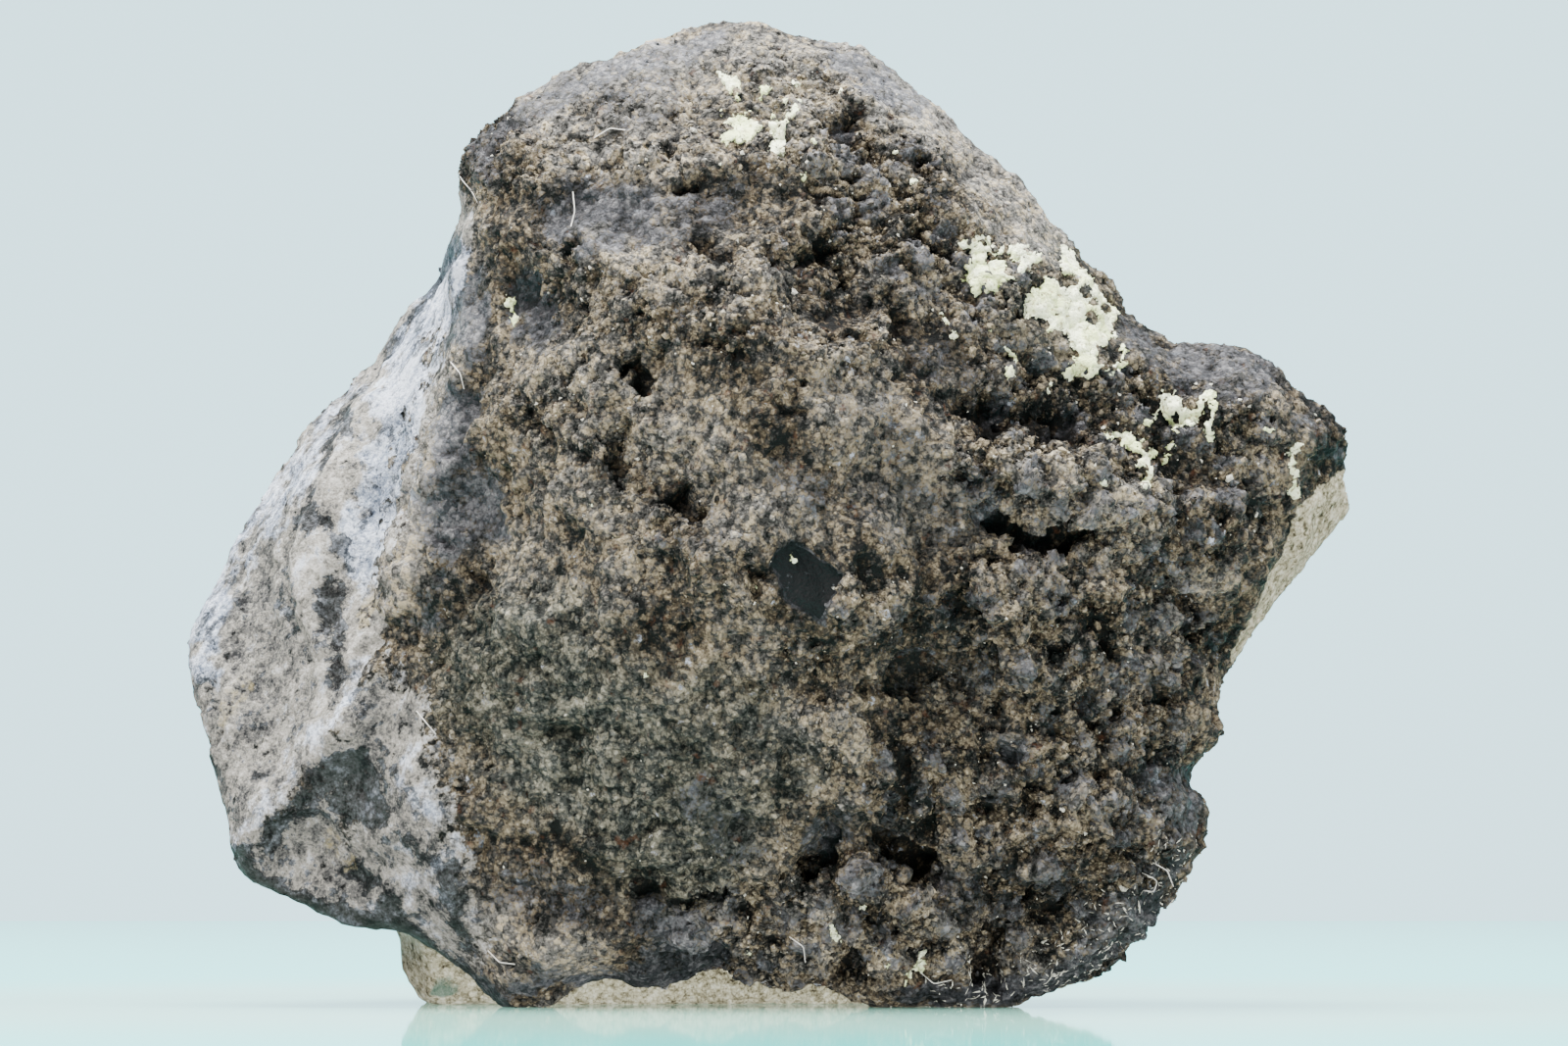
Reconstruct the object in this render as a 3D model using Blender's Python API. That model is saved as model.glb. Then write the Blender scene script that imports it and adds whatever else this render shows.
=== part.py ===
"""A hand specimen of kladnoite: a lump of burnt slate with thin pale crusts of the mineral grown on it.

The model is in metres, +Z up, and stands as it lies on a shelf, with its rough face towards -Y.
The stone is worked out in millimetres. Places on the rough face are given as (x, z) where they are
seen by an eye in front of the stone, on the upright plane y = 0 through the stone's waist.
"""

from dataclasses import dataclass

import bmesh
import bpy
import numpy as np
from mathutils import Vector, geometry, noise

MM = 0.001
TINY = 0.000001

# The eye that the face places are seen from, in millimetres.
EYE = np.array([0.6, -330.0, 8.0])

# Where rays start that find the stone's skin, and how far out they begin.
HEART = np.array([-1.4, 5.0, 23.0])
RAY_START = 48.0
RAY_STEP = 0.4
RAY_HALVINGS = 14

# The skin: rays go through the points of an icosphere, and the finished skin is thinned to these triangles.
SPHERE_SUBDIVISIONS = 6
SKIN_TRIANGLES = 7600

# How softly two facets meet, and how the stone's edge rounds towards the front and the back.
FACET_BLEND = 0.45
RIM_ROUNDING = 1.8
BACK_ROUNDING = 21.0

# A form fades out at this many times its reach.
FORM_FADE = 1.6

# The grid of places that the front's depth is worked out on.
GRID_LOW = (-34.0, -4.0)
GRID_HIGH = (34.0, 56.0)
GRID_STEP = 0.4
GRID_SOFTENINGS = 2

# Behind its waist the stone eases, over this distance, into a simpler outline.
BACK_EASING = 7.0

# Broad unevenness and finer lumps of the whole skin: size of the waves and how far they stand out.
BROAD_WAVE = 8.0
BROAD_HEIGHT = 0.9
LUMP_WAVE = 2.6
LUMP_HEIGHT = 0.42
LUMP_LEVEL = 0.6
FLANK_CALM = 0.35
FLANK_LINE = ((-20.5, 34), (-25.0, 24), (-25.5, 14))
FLANK_REACH = 7.0
FLANK_DEPTHS = (10.0, 14.0)
FLAT_FADE = (0.02, 1.6)
RIM_CALM = 0.15
RIM_REACH = 3.5
SKIN_SEED = Vector((11.3, 4.7, 8.1))

# The crusts: clear of the stone by the gap, and this thick.
CRUST_GAP = 0.3
CRUST_THICKNESS = 0.4
PRISM_FRONT = -22.0
PRISM_BACK = 3.0

# The stone's outline as the eye sees it, clockwise from the top: x, z, and the depth y of the skin there.
OUTLINE = [
    # the crown and the right shoulder
    (-1.5, 50.9, 2.0), (0.2, 50.5, 2.0), (2.4, 50.0, 2.2), (4.8, 49.4, 2.6), (6.8, 48.2, 3.0), (8.5, 46.7, 3.0),
    (9.8, 45.2, 3.0), (12.0, 43.6, 2.6), (13.4, 42.2, 2.2), (14.2, 40.6, 2.0), (14.8, 39.6, 2.0), (16.0, 38.4, 2.0),
    (17.4, 36.9, 2.0), (19.0, 35.2, 2.0),
    # the spur
    (20.2, 34.3, 2.0), (21.8, 34.0, 2.0), (22.8, 34.3, 2.0), (24.1, 34.3, 2.0), (25.3, 33.5, 2.0), (26.8, 32.3, 1.8),
    (28.1, 31.1, 1.5), (29.5, 30.3, 1.2), (29.8, 28.8, 1.5), (29.5, 27.4, 2.5), (30.0, 26.5, 4.0), (29.5, 24.7, 5.0),
    # the cut face under the spur
    (28.3, 23.3, 5.0), (26.8, 21.6, 4.5), (25.2, 19.6, 3.5), (23.6, 17.8, 2.0),
    # the two knobs of the right edge
    (22.8, 16.5, 0.5), (22.9, 15.8, 0.0), (23.4, 14.8, 0.0), (23.1, 13.6, 0.0), (22.0, 12.8, 0.2), (21.6, 12.0, 0.2),
    (22.3, 10.5, 0.0), (22.4, 8.4, 0.0), (21.6, 6.8, 0.0), (20.6, 5.2, 0.0), (19.8, 4.6, 0.0), (18.5, 3.4, 0.0),
    (17.8, 2.2, 0.0), (16.5, 1.4, 0.0), (15.0, 1.0, 0.0),
    # the underside of the front edge, with the two places where it stands
    (13.4, 0.4, -0.5), (12.6, -0.5, -0.8), (5.6, -0.5, -0.8), (4.4, 0.6, -0.8), (2.5, 1.0, -0.8), (0.6, 0.8, -1.0),
    (-1.0, 1.4, -1.0), (-2.6, 2.4, -1.0), (-4.5, 1.5, -1.0), (-6.2, 0.6, -1.0), (-8.0, 1.2, -1.0), (-9.5, 1.2, -1.0),
    (-11.0, 0.3, -0.8), (-12.0, -0.5, -0.6), (-14.0, -0.5, -0.4), (-15.0, 1.0, -0.2), (-16.5, 2.2, 0.0),
    (-18.5, 3.5, 0.0), (-20.2, 3.7, 0.0), (-22.2, 4.0, 0.0), (-24.2, 4.8, 0.2), (-25.8, 5.7, 0.5),
    # the left corner and the pale flank behind it
    (-27.3, 6.5, 1.0), (-27.8, 8.0, 1.2), (-28.0, 10.0, 1.8), (-28.8, 12.5, 2.6), (-29.5, 15.0, 3.6),
    (-30.0, 17.5, 5.0), (-30.0, 19.0, 6.0), (-29.4, 21.0, 7.0), (-28.5, 23.0, 8.0), (-27.5, 25.0, 9.0),
    (-25.8, 27.5, 10.0), (-24.0, 30.0, 11.0), (-22.2, 32.0, 12.0), (-20.4, 33.9, 12.0), (-19.2, 36.0, 12.0),
    (-17.2, 37.6, 11.0), (-17.0, 39.2, 9.0), (-16.0, 40.7, 4.0),
    # the lip over the flank and the left shoulder
    (-15.6, 41.3, 1.0), (-16.2, 42.7, 0.0), (-15.6, 44.2, 0.0), (-14.8, 45.3, 0.4), (-13.5, 46.9, 1.0),
    (-12.0, 47.5, 1.0), (-10.5, 48.5, 1.2), (-8.5, 49.0, 1.5), (-6.5, 49.8, 1.6), (-4.5, 50.2, 1.8), (-3.0, 50.7, 2.0),
]

# The simpler outline of the stone's back half, clockwise from the top.
BACK_OUTLINE = [
    (-1.5, 50.8), (8.2, 46.0), (14.0, 40.2), (20.0, 33.6), (28.6, 29.6), (29.2, 26.2), (24.4, 18.6), (22.4, 11.0),
    (19.0, 3.8), (14.0, 1.2), (-15.0, 1.6), (-22.0, 4.6), (-27.2, 8.2), (-29.8, 18.0), (-25.8, 27.2), (-18.4, 35.4),
    (-15.8, 43.6), (-10.4, 48.2),
]

# Depths of the front, (x, z, y), from the crown down to the lower edge.
FRONT = [
    # the upper slope
    (-12.5, 45.4, -0.6), (-8.0, 46.6, -1.4), (-2.5, 47.8, -1.2), (3.6, 46.6, -1.0), (8.2, 43.8, -1.4),
    (-13.0, 43.0, -2.2), (-9.5, 43.2, -3.6), (-5.0, 42.8, -5.0), (0.0, 43.6, -4.4), (5.0, 42.2, -4.2),
    (10.0, 41.0, -2.6), (-12.4, 39.6, -4.2), (-7.5, 38.6, -7.4), (-2.0, 38.8, -8.4), (4.0, 38.4, -7.2),
    (9.0, 37.8, -5.2), (12.4, 38.4, -2.8), (14.6, 37.0, -1.2),
    # the main face and the spur
    (-12.6, 35.6, -5.4), (-7.5, 33.2, -9.4), (-2.0, 33.6, -10.6), (4.0, 33.4, -9.6), (9.5, 33.4, -7.2),
    (14.0, 33.2, -4.4), (17.6, 33.2, -1.8), (-13.0, 31.0, -5.6), (-9.0, 28.2, -9.4), (-3.0, 28.6, -11.4),
    (3.0, 28.4, -11.2), (8.6, 28.6, -9.4), (13.2, 28.6, -7.8), (17.6, 28.4, -5.6), (21.6, 29.6, -3.4),
    (25.4, 29.6, -1.4), (22.0, 32.4, -0.8), (-13.6, 26.8, -5.6), (-9.8, 23.6, -8.8), (-4.6, 23.2, -11.2),
    (7.6, 23.2, -10.0), (12.6, 22.6, -8.4), (17.2, 22.4, -6.4), (21.2, 22.8, -3.6),
    # the black break at the bottom of a shallow hollow, corner by corner, then the hollow's rim
    (0.5, 21.4, -11.1), (1.3, 24.0, -10.9), (3.7, 22.0, -11.0), (2.3, 20.1, -11.2),
    (-0.6, 21.6, -11.8), (1.0, 25.2, -11.7), (4.8, 22.0, -11.4), (2.3, 19.0, -11.0),
    # below the middle
    (-14.6, 23.0, -5.0), (-11.6, 19.0, -8.0), (-6.0, 18.2, -9.8), (0.0, 17.4, -10.0), (5.0, 17.4, -9.4),
    (12.2, 17.0, -7.6), (16.6, 17.0, -5.8), (20.6, 17.0, -2.6), (-15.6, 19.0, -4.6), (-16.8, 15.0, -3.8),
    (-13.0, 14.4, -6.6), (-8.0, 13.0, -8.2), (-2.0, 12.6, -8.6), (4.0, 12.2, -8.0), (9.0, 12.0, -7.2),
    (14.0, 12.0, -5.8), (18.6, 11.0, -3.6),
    # the lower left corner and the crumbling lower edge
    (-22.0, 9.6, -0.9), (-18.0, 9.2, -3.0), (-14.4, 9.6, -5.0), (-10.0, 8.6, -6.2), (-5.0, 8.0, -6.6),
    (1.0, 7.8, -6.6), (6.6, 7.6, -6.2), (11.6, 7.2, -5.4), (16.0, 7.2, -3.8), (19.6, 7.6, -1.9),
    (-22.4, 5.8, -0.3), (-18.4, 5.6, -1.5), (-14.4, 4.6, -2.4), (-13.6, 1.6, -1.5), (-11.0, 3.2, -3.0),
    (-7.0, 3.6, -3.8), (-3.6, 4.6, -4.4), (0.6, 3.6, -4.2), (5.0, 3.2, -4.0), (9.6, 3.2, -3.7),
    (13.6, 3.2, -3.0), (17.0, 4.2, -1.9),
    # the pale flank: the valley behind the crest, the second ridge, and the outer slope
    (-16.5, 38.2, 4.4), (-17.3, 35.0, 4.4), (-18.8, 31.0, 3.6), (-22.0, 30.2, 7.0), (-20.2, 27.4, 2.9),
    (-23.4, 27.0, 4.4), (-20.8, 24.0, 2.1), (-23.0, 24.0, 2.9), (-26.0, 24.0, 5.4), (-21.1, 21.0, 1.3),
    (-23.2, 21.0, 2.0), (-26.8, 21.0, 4.3), (-23.2, 17.6, 1.0), (-26.8, 17.4, 3.0), (-25.6, 14.0, 1.4),
    (-27.6, 12.6, 2.1),
]

# Sharp edges of the front, each through its own depths, (x, z, y).
EDGES = [
    # the crest between the pale flank and the rough face
    [
        (-16.2, 42.7, 0.0), (-15.2, 41.3, -0.5), (-15.3, 40.2, -0.9), (-15.5, 38.0, -1.3), (-15.9, 35.0, -1.7),
        (-16.9, 30.6, -2.0), (-17.6, 27.4, -2.1), (-18.0, 25.0, -2.0), (-19.0, 22.3, -1.7), (-19.6, 19.6, -1.3), (-20.4, 17.8, -1.1),
        (-22.6, 14.0, -0.7), (-25.0, 10.4, 0.0), (-27.8, 8.0, 1.2),
    ],
    # the inner edge of the cut face under the spur
    [(29.5, 27.4, 2.5), (27.2, 25.8, 0.3), (26.0, 23.0, 0.0), (24.6, 20.2, 0.2), (23.6, 17.8, 2.0)],
]


@dataclass(frozen=True)
class Facet:
    """A flat break of the stone's back: a plane through a point, facing outwards."""

    through: tuple
    facing: tuple


BACK_FACETS = [
    # main break, left, right and top
    Facet(through=(2, 25.5, 24), facing=(0.10, 0.98, 0.14)),
    Facet(through=(-17.8, 20.4, 22.6), facing=(-0.66, 0.72, 0.22)),
    Facet(through=(17, 17.5, 29), facing=(0.60, 0.76, 0.25)),
    Facet(through=(0, 14.5, 44.5), facing=(-0.12, 0.56, 0.82)),
    Facet(through=(-11.8, 15.1, 42.2), facing=(-0.62, 0.52, 0.58)),
    Facet(through=(13.0, 13.0, 38.5), facing=(0.58, 0.42, 0.70)),
    # underneath: rear, lower right and lower left
    Facet(through=(2, 21.5, 7), facing=(0.12, 0.78, -0.62)),
    Facet(through=(18.0, 11, 9), facing=(0.76, 0.42, -0.50)),
    Facet(through=(-23.5, 9, 5.5), facing=(-0.72, 0.38, -0.58)),
]

# The rear foot, which the stone rests on behind its front edge.
FOOT_FACETS = [
    Facet(through=(-18.7, 10.0, 0.6), facing=(-0.94, -0.10, -0.32)),
    Facet(through=(-8.0, 6.0, 0.0), facing=(0.06, -0.88, -0.47)),
    Facet(through=(9.0, 10.0, 0.0), facing=(0.88, 0.10, -0.46)),
    Facet(through=(0.0, 16.5, 1.0), facing=(0.10, 0.95, 0.28)),
    Facet(through=(-16.0, 14.0, 1.0), facing=(-0.60, 0.76, 0.25)),
    Facet(through=(7.5, 13.5, 1.0), facing=(0.60, 0.76, 0.25)),
    Facet(through=(0.0, 12.0, 9.0), facing=(0.0, 0.0, 1.0)),
]


@dataclass(frozen=True)
class Form:
    """A lump, pit, ridge or groove of the rough face, along the (x, z) places where it is seen.

    The reach is how far it spreads to each side, and the height is positive for what stands out.
    """

    along: tuple
    reach: float
    height: float


FORMS = [
    # the second ridge of the flank and the folds beyond it
    Form(along=((-20.8, 33), (-23.6, 28.5), (-24.2, 26), (-23.5, 23), (-23.5, 18), (-22.7, 14.5)), reach=2.2, height=0.7),
    Form(along=((-27.6, 22), (-27.2, 17), (-25.5, 13)), reach=2.0, height=-0.7),
    Form(along=((-27.2, 9.2), (-25, 10.6), (-22.8, 13.5), (-20, 16.8)), reach=1.3, height=0.6),
    # the lower left corner: its hollow, the black chip and the folds towards the foot
    Form(along=((-24.6, 7.8), (-21.6, 7.4)), reach=2.6, height=-1.0),
    Form(along=((-22.4, 11.6), (-20.8, 10.2)), reach=1.5, height=-0.6),
    Form(along=((-17.6, 10.5), (-16.2, 4.5)), reach=1.6, height=0.6),
    Form(along=((-12.2, 3.4),), reach=3.0, height=0.8),
    # the upper slope: the smooth hollow, the deep hole, the nub and the long dark seam
    Form(along=((-8.5, 41.4), (-5.5, 41.0)), reach=2.6, height=-0.8),
    Form(along=((-4.4, 42.3),), reach=0.9, height=-1.4),
    Form(along=((-7.0, 43.1),), reach=1.2, height=0.6),
    Form(along=((2.0, 46.6), (3.8, 44.6), (6.0, 42.4)), reach=1.4, height=-0.7),
    Form(along=((6.0, 45.8), (10.5, 43.0), (13.0, 40.6)), reach=2.2, height=0.6),
    Form(along=((3.5, 38.5), (4.6, 36.6)), reach=1.2, height=-0.9),
    Form(along=((9.5, 31.2), (12.5, 30.6), (15.5, 30.9)), reach=1.2, height=-1.0),
    Form(along=((5.5, 32.4), (7.5, 33.4)), reach=2.4, height=-0.7),
    # the main face: broad swells and the worn hollows between them
    Form(along=((-7.0, 36.5), (-3.0, 35.5)), reach=4.0, height=0.9),
    Form(along=((-10.5, 31.5),), reach=3.2, height=0.7),
    Form(along=((-7.6, 33.4), (-6.9, 32.0)), reach=1.2, height=-1.1),
    Form(along=((-4.8, 28.0), (-4.2, 26.2)), reach=1.3, height=-1.3),
    Form(along=((-8.0, 29.5), (-6.0, 27.0)), reach=0.9, height=-1.0),
    Form(along=((-14.6, 26.4), (-14.0, 23.2)), reach=1.8, height=-0.7),
    Form(along=((-2.0, 23.5),), reach=2.6, height=0.7),
    Form(along=((7.0, 26.5), (8.4, 23.6)), reach=2.0, height=-0.8),
    Form(along=((4.6, 22.8), (4.2, 20.6)), reach=1.1, height=0.7),
    # the lumps of the right side and the shadowed cave under them
    Form(along=((12.4, 28.0), (14.0, 26.6)), reach=2.3, height=1.5),
    Form(along=((16.6, 27.4), (18.0, 25.0)), reach=2.3, height=1.5),
    Form(along=((10.9, 25.2), (12.6, 24.2), (15.0, 23.6)), reach=1.2, height=-2.0),
    Form(along=((13.6, 21.4),), reach=2.2, height=1.0),
    Form(along=((17.4, 20.4),), reach=2.2, height=1.0),
    Form(along=((21.8, 22.4), (23.6, 25.2)), reach=1.8, height=0.8),
    Form(along=((19.6, 22.4), (21.2, 20.2)), reach=0.9, height=-1.3),
    Form(along=((15.6, 17.4),), reach=1.6, height=0.9),
    Form(along=((12.2, 18.2),), reach=1.4, height=0.9),
    Form(along=((21.0, 28.4), (24.0, 28.8)), reach=1.6, height=-0.7),
    Form(along=((24.5, 31.8),), reach=2.2, height=0.8),
    # the dark hollow right of the middle
    Form(along=((6.4, 17.2), (9.8, 16.4)), reach=2.6, height=-2.4),
    Form(along=((3.0, 14.5), (3.6, 12.8)), reach=1.6, height=0.7),
    # the crumbling lower edge: slit, pits, blocks and nubs
    Form(along=((2.0, 7.0), (3.2, 8.8)), reach=0.8, height=-1.8),
    Form(along=((5.7, 8.7), (8.2, 7.0)), reach=1.1, height=-2.0),
    Form(along=((4.3, 6.9),), reach=1.4, height=0.9),
    Form(along=((8.8, 5.2),), reach=1.7, height=0.9),
    Form(along=((14.0, 7.3),), reach=1.3, height=0.9),
    Form(along=((14.6, 11.9),), reach=1.0, height=-1.5),
    Form(along=((13.6, 9.8),), reach=0.9, height=-1.3),
    Form(along=((11.0, 3.6), (11.8, 1.8)), reach=0.9, height=-1.2),
    Form(along=((-7.0, 5.8), (-4.4, 5.6), (-2.4, 5.9)), reach=1.3, height=-1.2),
    Form(along=((-4.1, 4.1),), reach=1.1, height=0.9),
    Form(along=((-1.2, 3.6), (1.2, 3.2)), reach=1.4, height=0.6),
    Form(along=((-0.2, 4.6), (2.2, 4.5)), reach=0.9, height=-1.0),
    Form(along=((5.0, 1.8), (9.0, 2.0)), reach=1.3, height=0.7),
    Form(along=((21.0, 14.9),), reach=1.7, height=0.7),
    Form(along=((19.6, 13.0), (21.9, 12.4)), reach=0.9, height=-1.2),
    Form(along=((19.6, 8.6),), reach=2.4, height=0.6),
]

# The pale crusts: each patch's rim as the eye sees it, (x, z).
CRUSTS = {
    "crust_top_flake": [(-2.7, 48.1), (-1.9, 48.1), (-1.6, 47.7), (-1.6, 47.1), (-1.9, 46.9), (-2.2, 47.3), (-2.6, 47.6)],
    "crust_crest_patch": [
        (-2.3, 46.0), (-1.3, 46.1), (-1.1, 45.7), (-0.6, 45.4), (-0.6, 44.9), (-1.2, 44.5), (-2.0, 44.4),
        (-2.6, 44.6), (-2.3, 45.0), (-2.6, 45.3),
    ],
    "crust_crest_sliver": [
        (-0.2, 45.6), (0.3, 45.7), (0.8, 45.9), (0.9, 46.6), (1.3, 46.9), (1.4, 46.1), (0.9, 45.5), (0.7, 44.6),
        (0.6, 43.8), (0.2, 43.8), (0.1, 44.6), (-0.2, 45.2),
    ],
    "crust_shoulder_left": [
        (9.8, 39.3), (10.5, 39.6), (11.3, 39.2), (12.1, 39.3), (13.0, 39.2), (14.0, 38.6), (14.0, 38.1),
        (13.3, 37.7), (12.6, 38.2), (12.3, 38.0), (12.1, 37.2), (11.6, 36.6), (10.8, 36.5), (10.2, 37.0), (9.8, 37.4),
        (10.2, 38.2),
    ],
    "crust_shoulder_right": [
        (14.9, 39.3), (15.6, 39.1), (16.3, 38.1), (17.2, 36.8), (17.8, 35.6), (17.7, 34.8), (17.3, 34.2),
        (17.0, 33.2), (16.5, 32.5), (15.6, 32.4), (15.2, 32.8), (15.4, 33.6), (15.2, 34.6), (14.6, 35.2), (13.6, 35.2),
        (13.0, 35.8), (12.9, 36.5), (13.6, 36.9), (14.2, 37.5), (14.9, 37.7),
    ],
    "crust_shoulder_drip": [
        (11.9, 34.0), (12.4, 33.8), (12.9, 33.3), (12.8, 32.8), (12.2, 32.3), (11.8, 32.4), (12.0, 33.1),
    ],
    "crust_spur_arch": [
        (19.3, 30.2), (19.9, 31.5), (20.9, 31.5), (21.3, 30.9), (21.9, 31.2), (22.4, 31.8), (23.0, 31.5),
        (23.1, 30.4), (22.8, 29.2), (22.4, 29.3), (22.4, 30.5), (22.0, 30.7), (21.6, 30.2), (20.4, 29.8), (19.6, 29.6),
    ],
    "crust_spur_drip": [
        (17.3, 29.4), (18.4, 29.5), (19.0, 28.8), (19.6, 28.6), (19.9, 27.9), (19.6, 27.2), (19.3, 26.6),
        (18.9, 26.7), (18.9, 27.6), (18.6, 28.3), (17.9, 28.9),
    ],
    "crust_rim_streak": [
        (26.5, 29.1), (27.3, 29.2), (27.3, 28.7), (27.0, 28.2), (27.2, 27.4), (27.3, 26.6), (26.9, 26.2),
        (26.4, 26.5), (26.5, 27.4), (26.5, 28.2),
    ],
}


def clear_scene():
    """Empties the scene, so that only the specimen is in it."""
    for old in list(bpy.data.objects):
        bpy.data.objects.remove(old)


def make_material(name, colour, roughness):
    """A plain dielectric surface."""
    material = bpy.data.materials.new(name)
    material.use_nodes = True
    surface = material.node_tree.nodes["Principled BSDF"]
    surface.inputs["Base Color"].default_value = (*colour, 1.0)
    surface.inputs["Roughness"].default_value = roughness
    surface.inputs["Metallic"].default_value = 0.0
    return material


def seen_at(points):
    """Where the eye sees each point, as (x, z) on the plane y = 0."""
    shrink = -EYE[1] / (points[:, 1] - EYE[1])
    return EYE[[0, 2]] + (points[:, [0, 2]] - EYE[[0, 2]]) * shrink[:, None]


def on_sight_line(place, depth):
    """The point at that depth which the eye sees at the place (x, z)."""
    grow = (depth - EYE[1]) / -EYE[1]
    x, z = EYE[[0, 2]] + (np.array(place) - EYE[[0, 2]]) * grow
    return (x, depth, z)


def distance_to_path(places, path):
    """How far each place is from a path of straight stretches, or from its one point."""
    path = np.asarray(path, float)
    if len(path) == 1:
        return np.linalg.norm(places - path[0], axis=1)
    nearest = np.full(len(places), np.inf)
    for start, end in zip(path[:-1], path[1:]):
        run = end - start
        share = np.clip(((places - start) @ run) / (run @ run), 0.0, 1.0)
        gap = np.linalg.norm(places - (start + share[:, None] * run), axis=1)
        nearest = np.minimum(nearest, gap)
    return nearest


def inside_outline(places, outline):
    """True for each place inside the closed outline, by counting crossings."""
    inside = np.zeros(len(places), bool)
    x, z = places[:, 0], places[:, 1]
    for (x0, z0), (x1, z1) in zip(outline, np.roll(outline, -1, axis=0)):
        if z0 == z1:
            continue
        crosses = (z0 > z) != (z1 > z)
        inside ^= crosses & (x < x0 + (z - z0) * (x1 - x0) / (z1 - z0))
    return inside


def beyond_outline(places, outline):
    """Signed distance from the outline: positive outside it."""
    closed = np.vstack([outline, outline[:1]])
    gap = distance_to_path(places, closed)
    return np.where(inside_outline(places, outline), -gap, gap)


def outline_depth(places):
    """The depth of the outline's skin in each place's direction from the stone's heart."""
    outline = np.array(OUTLINE)
    middle = HEART[[0, 2]]
    angles = np.arctan2(outline[:, 1] - middle[1], outline[:, 0] - middle[0])
    wanted = np.arctan2(places[:, 1] - middle[1], places[:, 0] - middle[0])
    order = np.argsort(angles)
    return np.interp(wanted, angles[order], outline[order, 2], period=2 * np.pi)


def smooth_step(value, start, end):
    """0 before start, 1 after end, and an even curve between them."""
    share = np.clip((value - start) / (end - start), 0.0, 1.0)
    return share * share * (3.0 - 2.0 * share)


def face_relief(places):
    """How far the forms of the front stand out at each place."""
    relief = np.zeros(len(places))
    for form in FORMS:
        gap = distance_to_path(places, form.along)
        relief += form.height * (1.0 - smooth_step(gap, 0.0, form.reach * FORM_FADE))
    return relief


def triangulated_depths():
    """The front's known depths, joined into triangles that keep the outline and the sharp edges."""
    marks, lines = [], []
    for path, closed in [(OUTLINE, True)] + [(edge, False) for edge in EDGES]:
        numbers = []
        for mark in path:
            if mark not in marks:
                marks.append(mark)
            numbers.append(marks.index(mark))
        lines += zip(numbers[:-1], numbers[1:])
        if closed:
            lines.append((numbers[-1], numbers[0]))
    marks += FRONT
    places = [Vector((x, z)) for x, z, _ in marks]
    found, _, faces, origins, _, _ = geometry.delaunay_2d_cdt(places, lines, [], 0, TINY)
    depths = [marks[origin[0]][2] for origin in origins]
    return np.array([(place.x, place.y) for place in found]), np.array(depths), faces


def depth_grid():
    """The depth of the front on an even grid of places, before rounding its rim."""
    columns = np.arange(GRID_LOW[0], GRID_HIGH[0], GRID_STEP)
    rows = np.arange(GRID_LOW[1], GRID_HIGH[1], GRID_STEP)
    x, z = (values.ravel() for values in np.meshgrid(columns, rows))
    places = np.stack([x, z], axis=1)
    grid = outline_depth(places)
    corners, depths, faces = triangulated_depths()
    for face in faces:
        (ax, az), (bx, bz), (cx, cz) = (corners[i] for i in face)
        area = (bz - cz) * (ax - cx) + (cx - bx) * (az - cz)
        if abs(area) < TINY:
            continue
        first = ((bz - cz) * (x - cx) + (cx - bx) * (z - cz)) / area
        second = ((cz - az) * (x - cx) + (ax - cx) * (z - cz)) / area
        third = 1.0 - first - second
        within = (first >= -TINY) & (second >= -TINY) & (third >= -TINY)
        a, b, c = (depths[i] for i in face)
        grid[within] = (a * first + b * second + c * third)[within]
    grid = grid - face_relief(places)
    grid = grid.reshape(len(rows), len(columns))
    for _ in range(GRID_SOFTENINGS):
        for axis in (0, 1):
            grid = (np.roll(grid, 1, axis) + 2.0 * grid + np.roll(grid, -1, axis)) / 4.0
    return grid


def sampled(grid, places):
    """The grid's value at each place, read evenly between its four nearest points."""
    spot = (places - np.array(GRID_LOW)) / GRID_STEP
    limit = np.array(grid.shape[::-1]) - 1.0 - TINY
    spot = np.clip(spot, 0.0, limit)
    low = spot.astype(int)
    share = spot - low
    column, row = low[:, 0], low[:, 1]
    across, up = share[:, 0], share[:, 1]
    below = grid[row, column] * (1 - across) + grid[row, column + 1] * across
    above = grid[row + 1, column] * (1 - across) + grid[row + 1, column + 1] * across
    return below * (1 - up) + above * up


def beyond_facet(points, facet):
    """Signed distance from a facet's plane: positive on the side that it faces."""
    facing = np.array(facet.facing) / np.linalg.norm(facet.facing)
    return (points - np.array(facet.through)) @ facing


def soft_maximum(parts):
    """The largest of the parts, with the corners between them softened."""
    parts = np.array(parts) / FACET_BLEND
    peak = parts.max(axis=0)
    return FACET_BLEND * (peak + np.log(np.exp(parts - peak).sum(axis=0)))


def stone_distance(points, grid):
    """Positive outside the stone and negative inside it; a rough distance in millimetres."""
    places = seen_at(points)
    front_edge = beyond_outline(places, np.array(OUTLINE)[:, :2])
    back_edge = beyond_outline(places, np.array(BACK_OUTLINE))
    past = np.maximum(points[:, 1] - outline_depth(places), 0.0)
    edge = front_edge + (back_edge - front_edge) * smooth_step(past, 0.0, BACK_EASING)
    sides = [edge + past**2 / (2.0 * BACK_ROUNDING)]
    body = soft_maximum(sides + [beyond_facet(points, facet) for facet in BACK_FACETS])
    foot = soft_maximum([beyond_facet(points, facet) for facet in FOOT_FACETS])
    body = -soft_maximum([-body, -foot])
    near_rim = np.clip(RIM_ROUNDING + front_edge, 0.0, RIM_ROUNDING)
    rounding = RIM_ROUNDING - np.sqrt(RIM_ROUNDING**2 - near_rim**2)
    front = sampled(grid, places) + rounding - points[:, 1]
    return np.maximum(np.maximum(body, front), -points[:, 2])


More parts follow.
